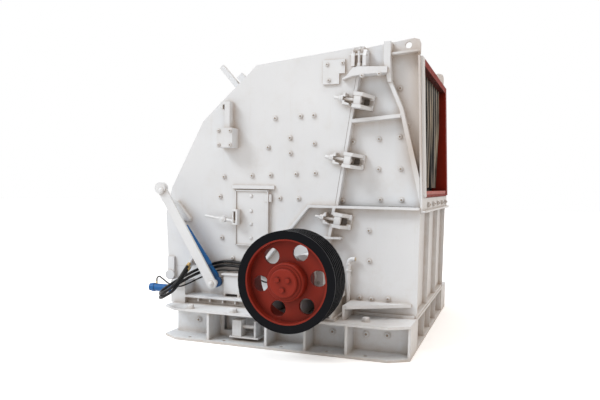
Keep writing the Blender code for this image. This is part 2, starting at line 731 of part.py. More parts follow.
def rear_shell(finish, parent):
    """Roof and back in one folded plate between the side plates, with the rear apron's two adjusters."""
    half = HALF_WIDTH - PLATE - CLEAR
    outer = offset_chain(rear_outline(SHAFT_LINE + 0.01), -SHELL_INSET)
    inner = offset_chain(rear_outline(SHAFT_LINE + 0.01), -SHELL_INSET - SHELL_PLATE)
    for line in (outer, inner):
        line[0] = (joint_x(line[0][1]) - 2 * SEAM, line[0][1])
    adds = [prism(outer + inner[::-1], -half, half)]
    facet = Vector(REAR_TOP[0]) - Vector(REAR_TOP[1])
    square = Vector((-facet.y, facet.x)).normalized()
    for _, side in SIDES:
        bar_low, bar_high = out(side, -ADJUSTER_IN - 0.03, -ADJUSTER_IN + 0.03)
        for along, width, height in ((0.53, 0.055, 0.45), (0.63, 0.075, 0.23)):
            foot = Vector(REAR_TOP[1]) + facet * along - square * (SHELL_INSET + 0.01)
            adds.append(prism(strip(foot, foot + square * height, width), bar_low, bar_high))
    node("rear_shell", finish, adds, (), parent)


def door(label, side, finish, parent):
    """A flat inspection door on a hinge at its edge towards the pulley."""
    hinge = (DOOR_RIGHT + 0.018, side * (HALF_WIDTH + 0.02), 0)
    pivot = bpy.data.objects.new(f"door_{label}_hinge", None)
    bpy.context.scene.collection.objects.link(pivot)
    pivot.location = hinge
    pivot.parent = parent
    low, high = out(side, CLEAR, DOOR_PLATE)
    adds = [block((DOOR_LEFT, low, DOOR_BOTTOM), (DOOR_RIGHT, high, DOOR_TOP))]
    for z in (DOOR_BOTTOM + 0.04, DOOR_TOP - 0.12):
        adds.append(rod(hinge, HINGE_RADIUS, z, z + 0.08, "z", 16))
        leaf_low, leaf_high = out(side, 0.014, DOOR_PLATE + 0.004)
        adds.append(block((DOOR_RIGHT - 0.05, leaf_low, z), (hinge[0], leaf_high, z + 0.08)))
    node(f"door_{label}", finish, adds, (), pivot, hinge)
    latch_low, latch_high = out(side, DOOR_PLATE + CLEAR, DOOR_PLATE + 0.085)
    axle = side * (HALF_WIDTH + DOOR_PLATE + 0.055)
    latch = [
        block((DOOR_LEFT, latch_low, 1.185), (-0.83, latch_high, 1.205)),
        block((DOOR_LEFT, latch_low, 1.325), (-0.83, latch_high, 1.345)),
        block((-0.85, latch_low, 1.19), (-0.83, latch_high, 1.34)),
        bar_between((-1.22, axle, 1.268), (-0.84, axle, 1.216), 0.014, 12),
        rod((-1.01, 0, 1.239), 0.036, axle - 0.02, axle + 0.02, sides=16),
        rod((0, axle, 1.222), 0.026, -0.90, -0.87, "x", 6),
    ]
    node(f"latch_{label}", finish, latch, (), pivot, hinge)


# Clamps


def square_to_joint(z):
    """Places a shape drawn about the origin on the joint at height z, with X square to the joint."""
    return Matrix.Translation((joint_x(z), 0, z)) @ Matrix.Rotation(math.atan(JOINT_LEAN), 4, "Y")


def clamp_seat(side, z):
    """The slotted bracket and gusset that a swing bolt pulls against, and the slot itself."""
    low, high = out(side, -PLATE / 2, 0.105)
    slot_low, slot_high = out(side, CLAMP_AXLE - 0.018, 0.2)
    adds = [
        block((-0.07, low, -0.055), (-0.048, high, 0.055)),
        prism(((-0.055, -0.03), (-0.055, -0.055), (0.0, -0.055), (0.0, -0.042)), low, high),
    ]
    cut = block((-0.1, slot_low, -0.018), (0.0, slot_high, 0.018))
    for mesh in (*adds, cut):
        mesh.transform(square_to_joint(z))
    return adds, cut


def clamp(name, side, z, floor, finish, parent):
    """A swing bolt in its fork, square to the inclined joint. floor is how far out its fork's footing is."""
    foot, crown = side * (HALF_WIDTH + floor + CLEAR), side * (HALF_WIDTH + CLAMP_REACH)
    heel = side * (HALF_WIDTH + floor + 0.04)
    start = CLAMP_START
    cheek = ((start, foot), (start, crown), (CLAMP_CROWN, crown), (CLAMP_HEEL, heel), (CLAMP_HEEL, foot))
    low, high = out(side, floor + CLEAR, floor + 0.03)
    axle = side * (HALF_WIDTH + CLAMP_AXLE)
    adds = [
        prism(cheek, -0.075, -0.04, "z"),
        prism(cheek, 0.04, 0.075, "z"),
        block((start + 0.002, low, -0.06), (CLAMP_HEEL - 0.005, high, 0.06)),
        rod((0.075, 0, 0), 0.032, *out(side, 0.01, CLAMP_REACH - 0.02), sides=16),
        rod((0.075, axle, 0), 0.014, -0.06, 0.06, "z", 12),
        rod((0, axle, 0), 0.016, -0.165, 0.07, "x", 12),
        rod((0, axle, 0), 0.03, -0.115, -0.08, "x", 6),
        rod((0, axle, 0), 0.042, -0.085, -0.0705, "x", 16),
    ]
    for mesh in adds:
        mesh.transform(square_to_joint(z))
    node(name, finish, adds, (), parent)


def top_clamp(label, side, finish, parent):
    """The fork on the arched shelf, across the joint, with its bolt upright between two cheeks."""
    low = FRONT_TOP_LEFT - 0.20 + 0.004
    axle = side * (HALF_WIDTH + 0.028)
    crown, top = side * (HALF_WIDTH + 0.058), side * (HALF_WIDTH + 0.02)
    floor_low, floor_high = out(side, CLEAR, 0.015)
    end = TOP_CLAMP_X[1] + TOP_CLAMP_CHEEK
    adds = []
    for x, depth in zip(TOP_CLAMP_X, (CLEAR, CLEAR - RECESS)):
        foot = side * (HALF_WIDTH + depth)
        cheek = ((foot, low), (crown, low), (crown, low + 0.10), (top, low + 0.16), (foot, low + 0.16))
        adds.append(prism(cheek, x, x + TOP_CLAMP_CHEEK, "x"))
    middle = (TOP_CLAMP_X[0] + end) / 2
    adds += [
        block((TOP_CLAMP_X[0] + 0.01, floor_low, low), (end - 0.01, floor_high, low + 0.03)),
        rod((0, axle, low + 0.115), 0.012, TOP_CLAMP_X[0] - 0.022, end + 0.01, "x", 12),
        rod((middle, axle, 0), 0.015, low + 0.002, low + 0.145, "z", 12),
        rod((middle, axle, 0), 0.024, low + 0.001, low + 0.035, "z", 6),
    ]
    node(f"clamp_{label}_top", finish, adds, (), parent)


# Rotor


def rotor(finishes, parent):
    centre = (0, 0, AXIS_HEIGHT)
    pivot = bpy.data.objects.new("rotor_axis", None)
    bpy.context.scene.collection.objects.link(pivot)
    pivot.location = centre
    pivot.parent = parent
    near = -HALF_WIDTH
    profile = (
        (0, near - CAP_FRONT + 0.06),
        (SHAFT_END_RADIUS, near - CAP_FRONT + 0.06),
        (SHAFT_END_RADIUS, near - 0.45),
        (SHAFT_RADIUS, near - 0.45),
        (SHAFT_RADIUS, near - 0.05),
        (0.11, near - 0.03),
        (0.11, -near + 0.03),
        (SHAFT_RADIUS, -near + 0.05),
        (SHAFT_RADIUS, -near + 0.43),
        (0, -near + 0.43),
    )
    node("rotor_shaft", finishes["steel"], [turned(profile, centre, 32)], (), pivot, centre)
    adds = [rod(centre, DRUM_RADIUS, -ROTOR_HALF + 0.01, ROTOR_HALF - 0.01, sides=32)]
    gap = (2 * ROTOR_HALF - DISC_THICKNESS) / (DISC_COUNT - 1)
    for k in range(DISC_COUNT):
        y = -ROTOR_HALF + k * gap
        adds.append(rod(centre, DISC_RADIUS, y, y + DISC_THICKNESS, sides=32))
    cuts = [rod(centre, 0.11 + CLEAR, -1, 1, sides=32)]
    slot = BAR_THICKNESS / 2 + CLEAR
    for k in range(BAR_COUNT):
        cut = block((ROTOR_RADIUS - BAR_DEPTH - CLEAR, -1, -slot), (1, 1, slot))
        cut.transform(Matrix.Translation(centre) @ Matrix.Rotation(2 * math.pi * k / BAR_COUNT + 0.5, 4, "Y"))
        cuts.append(cut)
    node("rotor_body", finishes["worn"], adds, cuts, pivot, centre)
    half = BAR_THICKNESS / 2
    for k in range(BAR_COUNT):
        bar = block((ROTOR_RADIUS - BAR_DEPTH, -ROTOR_HALF, -half), (ROTOR_RADIUS, ROTOR_HALF, half))
        bar.transform(Matrix.Translation(centre) @ Matrix.Rotation(2 * math.pi * k / BAR_COUNT + 0.5, 4, "Y"))
        node(f"blow_bar_{k + 1}", finishes["worn"], [bar], (), pivot, centre)
    pulley(finishes, pivot, centre)
    face, step = near - CAP_FRONT, near - CAP_FRONT + 0.035
    cap = ((0, face), (CAP_RADIUS - 0.01, face), (CAP_RADIUS, face + 0.01), (CAP_RADIUS, step))
    cap += ((COLLAR_RADIUS, step), (COLLAR_RADIUS, step + 0.015), (0, step + 0.015))
    node("hub_cap", finishes["red"], [turned(cap, centre, 32)], (), pivot, centre)


def pulley(finishes, pivot, centre):
    """The belt sheave: a rim with V grooves, shrunk on a wheel with a recessed six-hole web and a hub."""
    front = -HALF_WIDTH - PULLEY_FRONT
    back = front + PULLEY_WIDTH
    groove = (PULLEY_WIDTH - 0.04) / PULLEY_GROOVES
    outer = [(PULLEY_RADIUS, front)]
    for k in range(PULLEY_GROOVES):
        start = front + 0.02 + k * groove
        outer += [
            (PULLEY_RADIUS, start + 0.006),
            (PULLEY_RADIUS - 0.022, start + 0.014),
            (PULLEY_RADIUS - 0.022, start + groove - 0.014),
            (PULLEY_RADIUS, start + groove - 0.006),
        ]
    outer += [(PULLEY_RADIUS, back), (RIM_INNER, back), (RIM_INNER, front)]
    node("pulley_rim", finishes["black"], [turned(outer, centre, 48)], (), pivot, centre)
    hub_front = -HALF_WIDTH - CAP_FRONT + 0.0503
    bore, edge = SHAFT_END_RADIUS + CLEAR, RIM_INNER - CLEAR
    web = front + WEB_RECESS
    wheel = [
        (edge, front + 0.002),
        (edge, back - 0.002),
        (WHEEL_INNER, back - 0.002),
        (WHEEL_INNER, web + WEB_THICKNESS),
        (PULLEY_HUB, web + WEB_THICKNESS),
        (PULLEY_HUB, back - 0.02),
        (bore, back - 0.02),
        (bore, hub_front),
        (PULLEY_HUB - 0.01, hub_front),
        (PULLEY_HUB, hub_front + 0.01),
        (PULLEY_HUB + 0.005, web),
        (WHEEL_INNER, web),
        (WHEEL_INNER, front + 0.002),
    ]
    cuts = []
    for k in range(PULLEY_HOLES):
        turn = math.radians(PULLEY_HOLE_PHASE) + 2 * math.pi * k / PULLEY_HOLES
        x = PULLEY_HOLE_CIRCLE * math.cos(turn)
        z = AXIS_HEIGHT + PULLEY_HOLE_CIRCLE * math.sin(turn)
        cuts.append(rod((x, 0, z), PULLEY_HOLE_RADIUS, web - 0.05, web + 0.1, sides=20))
    node("pulley", finishes["red"], [turned(wheel, centre, 48)], cuts, pivot, centre)


# Aprons, their shaft ends and adjusters


def apron(name, points, shaft, finish, parent):
    """A thick bent plate that stone is thrown against, hung on a shaft between the side plates."""
    half = HALF_WIDTH - RECESS - PLATE - 0.02
    reach = HALF_WIDTH - PLATE - CLEAR
    outline = list(points) + offset_chain(points, -APRON_PLATE)[::-1]
    adds = [prism(outline, -half, half), rod((shaft[0], 0, shaft[1]), APRON_SHAFT, -reach, reach)]
    node(name, finish, adds, (), parent)


def shaft_box(label, side, finish, parent):
    """The box over the end of the rear apron's shaft, with its hooked keeper bar."""
    low, high = out(side, CLEAR, 0.16)
    bar_low, bar_high = out(side, CLEAR, 0.10)
    z = REAR_SHAFT[1]
    adds = [
        block((-1.045, low, z - 0.10), (-0.865, high, z + 0.10)),
        block((-0.985, bar_low, z + 0.085), (-0.925, bar_high, z + 0.375)),
        block((-1.03, bar_low, z + 0.345), (-0.93, bar_high, z + 0.375)),
        block((-1.03, bar_low, z + 0.30), (-1.005, bar_high, z + 0.365)),
    ]
    node(f"apron_shaft_box_{label}", finish, adds, (), parent)


def shaft_cover(label, side, finish, parent):
    """The square cover plate over the end of the front apron's shaft."""
    low, high = out(side, CLEAR, 0.022)
    z = FRONT_SHAFT[1]
    adds = [block((0.052, low, z - 0.115), (0.278, high, z + 0.12))]
    cuts = [block((0.22, low - 0.1, z - 0.2), (0.3, high + 0.1, z - 0.015))]
    node(f"apron_shaft_cover_{label}", finish, adds, cuts, parent)


# Stays and cylinders


def stay_arm(label, side, finish, parent):
    """The flat arm from the hinge pin up to the rear frame's edge."""
    head, foot = Vector(ARM_HEAD), Vector(ARM_PIVOT)
    low, high = out(side, ARM_OUT, ARM_OUT + 0.025)
    boss_low, boss_high = out(side, ARM_OUT - 0.02, ARM_OUT + 0.045)
    pin_low, pin_high = out(side, CLEAR, ARM_OUT + 0.05)
    along = (foot - head).normalized()
    aside = Vector((along.y, -along.x)) * ARM_HALF
    flat = [tuple(head + aside), tuple(foot + aside), tuple(foot - aside), tuple(head - aside)]
    adds = [
        prism(flat, low, high),
        rod((head.x, 0, head.y), 0.062, boss_low, boss_high, sides=32),
        rod((foot.x, 0, foot.y), 0.055, low - 0.003, high + 0.003, sides=32),
        rod((foot.x, 0, foot.y), ARM_PIN, pin_low, pin_high, sides=24),
    ]
    node(f"stay_arm_{label}", finish, adds, (), parent)


def lift_cylinder(label, side, finish, parent):
    """The cylinder from the rear frame's bracket to the arm's pin: rod eye, barrel and curved clevis."""
    y = side * (HALF_WIDTH + LIFT_OUT)
    top, foot, pin = Vector(LIFT_TOP), Vector(LIFT_FOOT), Vector(ARM_PIVOT)
    along = (foot - top).normalized()
    eye = top - along * 0.065
    curve = [foot - along * 0.02, foot + along * 0.05, Vector((pin.x - 0.02, pin.y + 0.07)), pin]
    clevis = offset_chain(curve, 0.032) + offset_chain(curve, -0.032)[::-1]
    side_low, side_high = out(side, LIFT_OUT - 0.03, LIFT_OUT + 0.03)
    adds = [
        bar_between((top.x, y, top.y), (foot.x, y, foot.y), LIFT_RADIUS),
        bar_between((top.x, y, top.y), (eye.x, y, eye.y), 0.02),
        rod((eye.x, 0, eye.y), 0.03, side_low, side_high, sides=20),
        prism(clevis, side_low, side_high),
        rod((pin.x, 0, pin.y), ARM_PIN + 0.025, side_low, side_high, sides=24),
    ]
    bore = rod((pin.x, 0, pin.y), ARM_PIN + CLEAR, *out(side, 0, ARM_OUT), sides=24)
    node(f"lift_cylinder_{label}", finish, adds, [bore], parent)


def hand_cylinder(finish, parent):
    """The second hydraulic cylinder, lying against the hinge leg."""
    y = -HALF_WIDTH - CYLINDER_OUT
    band = CYLINDER_LEFT + 0.03
    adds = [
        rod((0, y, CYLINDER_HEIGHT), CYLINDER_RADIUS, CYLINDER_LEFT, LEG_LEFT - CLEAR, "x", 20),
        rod((0, y, CYLINDER_HEIGHT), CYLINDER_RADIUS + 0.006, band, band + 0.03, "x", 20),
    ]
    node("hand_cylinder", finish, adds, (), parent)


def smooth_route(points, spacing):
    """Points along a Catmull-Rom curve through the route's own points, about one spacing apart."""
    route = [Vector(p) for p in points]
    ends = [2 * route[0] - route[1], *route, 2 * route[-1] - route[-2]]
    line = []
    for i in range(1, len(ends) - 2):
        p0, p1, p2, p3 = ends[i - 1 : i + 3]
        count = max(1, round((p2 - p1).length / spacing))
        for k in range(count):
            t = k / count
            bend = (2 * p0 - 5 * p1 + 4 * p2 - p3) * t * t + (3 * p1 - p0 - 3 * p2 + p3) * t * t * t
            line.append(0.5 * (2 * p1 + (p2 - p0) * t + bend))
    return [*line, route[-1]]


def hose(name, points, radius, finish, parent):
    """A tube along a route of (x, distance out, z) points on the pulley side."""
    curve = bpy.data.curves.new(name, "CURVE")
    curve.dimensions = "3D"
    curve.bevel_depth = radius
    curve.bevel_resolution = 2
    curve.use_fill_caps = True
    spline = curve.splines.new("POLY")
    line = smooth_route([(x, -HALF_WIDTH - d, z) for x, d, z in points], radius * 5)
    spline.points.add(len(line) - 1)
    for point, place in zip(spline.points, line):
        point.co = (*place, 1)
    curve.materials.append(finish)
    tube = bpy.data.objects.new(name, curve)
    bpy.context.scene.collection.objects.link(tube)
    tube.parent = parent


def hydraulics(white, rubber, parent):
    """Valve block by the arm, manifold behind the sheave, and the hoses that loop between them."""
    y = -HALF_WIDTH
    port, tip = Vector(VALVE_PORT), Vector(HOSE_END)
    aim = (tip - port).normalized()
    drops = (("hose_upper", 0.0), ("hose_lower", HOSE_PITCH))
    valve = [block((VALVE_LEFT, y - 0.16, 0.735), (VALVE_LEFT + 0.06, y - CLEAR, 0.825))]
    for _, drop in drops:
        ends = [(p.x, y - p.y, p.z - drop) for p in (port, tip)]
        valve.append(bar_between(*ends, 0.0175, 6))
    node("valve_block", white, valve, (), parent)
    low, high = (MANIFOLD_LEFT, y - 0.09, 0.55), (MANIFOLD_LEFT + 0.05, y - CLEAR, 0.73)
    node("hose_manifold", white, [block(low, high)], (), parent)
    start = MANIFOLD_LEFT - CLEAR
    for name, drop in drops:
        points = [
            (start, MANIFOLD_OUT, 0.70),
            (start - 0.07, MANIFOLD_OUT, 0.70),
            (-0.66, 0.04, 0.74),
            (-0.83, 0.03, 0.775),
            (-1.0, 0.03, 0.783),
            (-1.12, 0.025, 0.757),
            (-1.205, 0.05, 0.73),
            (-1.275, 0.11, 0.698),
            (-1.355, 0.19, 0.65),
            (-1.452, 0.27, 0.582),
            (-1.525, 0.35, 0.522),
            (-1.54, 0.445, 0.482),
            (-1.49, 0.535, 0.478),
            (-1.41, 0.578, 0.513),
            (-1.335, 0.54, 0.57),
            (-1.318, 0.44, 0.645),
            tip + aim * 0.1,
            tip + aim * CLEAR,
        ]
        hose(name, [(x, d, z - drop) for x, d, z in points], HOSE_RADIUS, rubber, parent)
    top = CYLINDER_HEIGHT + CYLINDER_RADIUS + CLEAR
    points = [
        (-1.82, CYLINDER_OUT, top),
        (-1.82, CYLINDER_OUT, top + 0.028),
        (-1.81, 0.097, 0.561),
        (-1.76, 0.13, 0.586),
        (-1.68, 0.18, 0.567),
        (-1.57, 0.22, 0.525),
        (-1.45, 0.228, 0.512),
        (-1.36, 0.208, 0.543),
        (-1.285, 0.143, 0.588),
        (-1.20, 0.07, 0.632),
        (-1.08, 0.033, 0.682),
        (-0.95, 0.03, 0.69),
        (-0.80, 0.03, 0.688),
        (-0.66, 0.04, 0.64),
        (-0.56, MANIFOLD_OUT, 0.60),
        (start - 0.045, MANIFOLD_OUT, 0.59),
        (start, MANIFOLD_OUT, 0.59),
    ]
    hose("hose_thin", points, THIN_HOSE_RADIUS, rubber, parent)


def grease_pipe(finish, parent):
    y = -HALF_WIDTH - 0.05
    adds = [
        rod((PIPE_X, y, 0), 0.022, SHELF_TOP - 0.1, 0.885, "z", 16),
        rod((0, y, 0.885), 0.0215, PIPE_X, PIPE_X + 0.065, "x", 16),
        rod((PIPE_X, y, 0), 0.03, 0.76, 0.78, "z", 16),
        block((PIPE_X - 0.02, y, 0.765), (PIPE_X + 0.02, -HALF_WIDTH - CLEAR, 0.775)),
    ]
    node("grease_pipe", finish, adds, (), parent)


def main():
    clear_scene()
    white = material("white_paint", (0.86, 0.87, 0.88), 0.35)
    finishes = {
        "red": material("red_paint", (0.42, 0.045, 0.025), 0.4),
        "black": material("black_paint", (0.015, 0.015, 0.016), 0.3),
        "steel": material("bright_steel", (0.55, 0.55, 0.56), 0.35, 1.0),
        "worn": material("worn_steel", (0.2, 0.18, 0.17), 0.6, 0.8),
    }
    blue = material("blue_paint", (0.01, 0.12, 0.42), 0.35)
    rubber = material("black_rubber", (0.02, 0.02, 0.022), 0.45)
    crusher = bpy.data.objects.new("crusher", None)
    bpy.context.scene.collection.objects.link(crusher)
    crusher.location = (SHIFT_X, SHIFT_Y, 0)
    for label, side in SIDES:
        base_beam(label, side, white, crusher)
        lower_side(label, side, white, crusher)
        bearing_pedestal(label, side, white, crusher)
        bearing_housing(label, side, white, crusher)
        front_side(label, side, white, crusher)
        rear_side(label, side, white, crusher)
        door(label, side, white, crusher)
        for place, z in CLAMPS:
            clamp(f"clamp_{label}_{place}", side, z, -RECESS, white, crusher)
        clamp(f"clamp_{label}_lower", side, LOWER_CLAMP, 0, white, crusher)
        top_clamp(label, side, white, crusher)
        shaft_box(label, side, white, crusher)
        shaft_cover(label, side, white, crusher)
        stay_arm(label, side, white, crusher)
        lift_cylinder(label, side, blue, crusher)
    base_end("base_end_front", BASE_RIGHT, -1, white, crusher)
    base_end("base_end_rear", BASE_LEFT, 1, white, crusher)
    lower_front_wall(white, crusher)
    lower_rear_wall(white, crusher)
    front_roof(white, crusher)
    mouth_flange(white, crusher)
    mouth_liner(finishes["red"], crusher)
    feed_curtain(rubber, crusher)
    feed_plate(finishes["worn"], crusher)
    rear_shell(white, crusher)
    low_end = AXIS_HEIGHT + 0.76
    front = [(0.15, FRONT_TOP_LEFT - 0.25), (-0.46, AXIS_HEIGHT + 1.04), (-0.34, low_end)]
    apron("apron_front", front, FRONT_SHAFT, finishes["worn"], crusher)
    rear = [(-0.97, FRONT_TOP_LEFT - 0.89), (-1.08, AXIS_HEIGHT + 0.61), (-0.86, AXIS_HEIGHT + 0.26)]
    apron("apron_rear", rear, REAR_SHAFT, finishes["worn"], crusher)
    hand_cylinder(blue, crusher)
    grease_pipe(white, crusher)
    hydraulics(white, rubber, crusher)
    rotor(finishes, crusher)


main()
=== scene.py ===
"""Looks of the impact crusher: camera, paint and steel, hoses, bolts, weld beads, curtain, floor and light.

Metres. Places are given as the CAD model gives them: x from the rotor's axis, out from the side plate's
face, z from the ground. world_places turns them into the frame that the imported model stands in.
"""
import math

import bpy
import numpy as np
from mathutils import Matrix, Vector
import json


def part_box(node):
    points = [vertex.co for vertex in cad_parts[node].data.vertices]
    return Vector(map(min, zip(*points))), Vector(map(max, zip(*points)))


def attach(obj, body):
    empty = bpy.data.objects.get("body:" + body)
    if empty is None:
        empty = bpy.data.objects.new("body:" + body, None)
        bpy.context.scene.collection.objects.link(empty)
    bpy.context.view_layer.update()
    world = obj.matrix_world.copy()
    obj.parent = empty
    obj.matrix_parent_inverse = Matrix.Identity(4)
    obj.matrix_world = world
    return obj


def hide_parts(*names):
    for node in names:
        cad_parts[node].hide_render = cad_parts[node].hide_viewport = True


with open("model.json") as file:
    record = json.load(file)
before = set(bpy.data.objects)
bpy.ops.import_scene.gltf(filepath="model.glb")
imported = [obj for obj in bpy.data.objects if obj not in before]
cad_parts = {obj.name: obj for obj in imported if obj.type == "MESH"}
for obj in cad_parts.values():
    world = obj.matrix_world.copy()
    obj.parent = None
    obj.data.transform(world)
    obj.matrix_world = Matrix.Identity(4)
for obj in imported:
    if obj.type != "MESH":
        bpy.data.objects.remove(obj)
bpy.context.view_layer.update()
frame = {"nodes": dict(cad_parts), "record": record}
cad_nodes = frame["nodes"]

# Places shared with the CAD model
SHIFT = Vector((0.402, 0.22, 0.0))
SIDES = (("near", -1), ("far", 1))
GAP = 0.0003
HALF_WIDTH = 1.07
AXIS_HEIGHT = 0.74
RECESS = 0.10
BASE_WEB = 0.19
BASE_FOOT_TOP = 0.025
BASE_UNDER_TOP = 0.305
BASE_TOP = 0.33
RIBS = (-0.99, -0.355, 0.05, 0.461)
RIB_HALF = 0.0125
RIB_REACH = 0.44
JOINT_FOOT = (0.197, 1.41)
JOINT_LEAN = 0.15
CLAMPS = (("upper", 2.44, -RECESS), ("middle", 1.868, -RECESS), ("lower", 1.277, 0.0))
MOUTH_FOOT = (1.066, 1.5)
MOUTH_LEAN = 0.0466
STRIPS = 9
STRIP_HALF = 0.87
STRIP_PITCH = 2 * STRIP_HALF / STRIPS
STRIP_GAP = 0.012
STRIP_TOP = 2.7694
STRIP_FOOT = 1.60


def world_places(points, side=-1):
    """Rows of (x, out, z) turned into frame coordinates: y is the half width plus out, to that side."""
    p = np.asarray(points, float)
    return np.stack([p[:, 0] + SHIFT.x, side * (HALF_WIDTH + p[:, 1]) + SHIFT.y, p[:, 2]], axis=1)


def joint_x(z):
    """The x at height z of the inclined joint between the rear and front frames."""
    return JOINT_FOOT[0] + JOINT_LEAN * (z - JOINT_FOOT[1])


def mouth_front(z):
    """The x at height z of the mouth flange's face, which leans back."""
    return MOUTH_FOOT[0] - MOUTH_LEAN * (z - MOUTH_FOOT[1])


# Camera
def place_camera():
    """Turns from looking along +Y: yaw to the left, then pitch down, then roll about the view."""
    data = bpy.data.cameras.new("photo_camera")
    camera = bpy.data.objects.new("photo_camera", data)
    bpy.context.scene.collection.objects.link(camera)
    data.sensor_width = 36.0
    data.lens = 36.39
    data.shift_x = 0.003
    data.shift_y = 0.072
    data.clip_end = 200.0
    yaw, pitch, roll = math.radians(19.628), math.radians(5.394), math.radians(0.823)
    tilt = Matrix.Rotation(math.pi / 2 - pitch, 4, "X") @ Matrix.Rotation(roll, 4, "Z")
    place = Vector((1.9, -HALF_WIDTH - 5.855, 1.6)) + SHIFT
    camera.matrix_world = Matrix.Translation(place) @ Matrix.Rotation(yaw, 4, "Z") @ tilt
    bpy.context.scene.camera = camera


place_camera()


# Node trees
def shade(colour, share=1.0):
    """A colour's three numbers times share, and the fourth that a colour socket takes."""
    return tuple(c * share for c in colour) + (1,)


class Tree:
    """The nodes of a material or of the world, with short ways to add to them."""

    def __init__(self, owner):
        owner.use_nodes = True
        self.nodes = owner.node_tree.nodes
        self.links = owner.node_tree.links

    def add(self, kind, inputs=(), **settings):
        node = self.nodes.new(kind)
        for key, value in settings.items():
            setattr(node, key, value)
        for key, value in dict(inputs).items():
            self.feed(node.inputs[key], value)
        return node

    def feed(self, socket, value):
        if isinstance(value, bpy.types.NodeSocket):
            self.links.new(value, socket)
        else:
            socket.default_value = value

    def spread(self, value, low, high, to_low=0.0, to_high=1.0):
        """Maps low to high onto to_low to to_high, clamped."""
        inputs = {"Value": value, "From Min": low, "From Max": high, "To Min": to_low, "To Max": to_high}
        return self.add("ShaderNodeMapRange", inputs).outputs["Result"]

    def math(self, operation, a, b=0.0):
        return self.add("ShaderNodeMath", {0: a, 1: b}, operation=operation).outputs["Value"]

    def mix(self, amount, a, b):
        """Colour a turned into colour b by amount."""
        node = self.add("ShaderNodeMix", data_type="RGBA")
        self.feed(node.inputs["Factor"], amount)
        self.feed(node.inputs[6], a)
        self.feed(node.inputs[7], b)
        return node.outputs[2]

    def split(self, vector):
        """A vector's three outputs, X, Y and Z."""
        return self.add("ShaderNodeSeparateXYZ", {"Vector": vector}).outputs

    def seen_directly(self):
        """1 for what the camera, a mirror or glass sees, 0 for light that falls on the object."""
        path = self.add("ShaderNodeLightPath").outputs
        both = self.math("MAXIMUM", path["Is Camera Ray"], path["Is Glossy Ray"])
        return self.math("MAXIMUM", both, path["Is Transmission Ray"])


class Finish(Tree):
    """A material under way, new or copied from another, with what its colour and relief are made from."""

    def __init__(self, name, like=None):
        self.made = like.copy() if like else bpy.data.materials.new(name)
        self.made.name = name
        super().__init__(self.made)
        self.shader = self.nodes["Principled BSDF"]
        self.place = self.add("ShaderNodeTexCoord").outputs["Object"]

    def noise(self, scale, detail=4.0, rough=0.55, stretch=None):
        """Noise from 0 to 1 about every 1/scale metres, stretched by three factors where they are given."""
        place = self.place
        if stretch:
            place = self.add("ShaderNodeMapping", {"Vector": place, "Scale": stretch}).outputs["Vector"]
        inputs = {"Vector": place, "Scale": scale, "Detail": detail, "Roughness": rough}
        return self.add("ShaderNodeTexNoise", inputs).outputs["Fac"]

    def edges(self, radius):
        """1 where the surface turns a corner within radius: the bevelled normal against the plain one."""
        soft = self.add("ShaderNodeBevel", {"Radius": radius}, samples=6).outputs["Normal"]
        plain = self.add("ShaderNodeNewGeometry").outputs["Normal"]
        along = self.add("ShaderNodeVectorMath", {0: soft, 1: plain}, operation="DOT_PRODUCT")
        return self.spread(self.math("SUBTRACT", 1.0, along.outputs["Value"]), 0.02, 0.25)

    def crevices(self, reach, low, high):
        """1 far into a corner and 0 on open plate, from how much of the half space within reach is hidden:
        the amount of shade painted into corners.
        """
        free = self.add("ShaderNodeAmbientOcclusion", {"Distance": reach}, samples=8).outputs["AO"]
        return self.spread(free, low, high, 1.0, 0.0)

    def relief(self, heights, round_edge=0.0):
        """Bumps on top of one another: pairs of a height value and its depth in metres."""
        normal = None
        if round_edge:
            normal = self.add("ShaderNodeBevel", {"Radius": round_edge}, samples=4).outputs["Normal"]
        for height, depth in heights:
            inputs = {"Height": height, "Distance": depth, "Strength": 1.0}
            if normal:
                inputs["Normal"] = normal
            normal = self.add("ShaderNodeBump", inputs).outputs["Normal"]
        self.feed(self.shader.inputs["Normal"], normal)


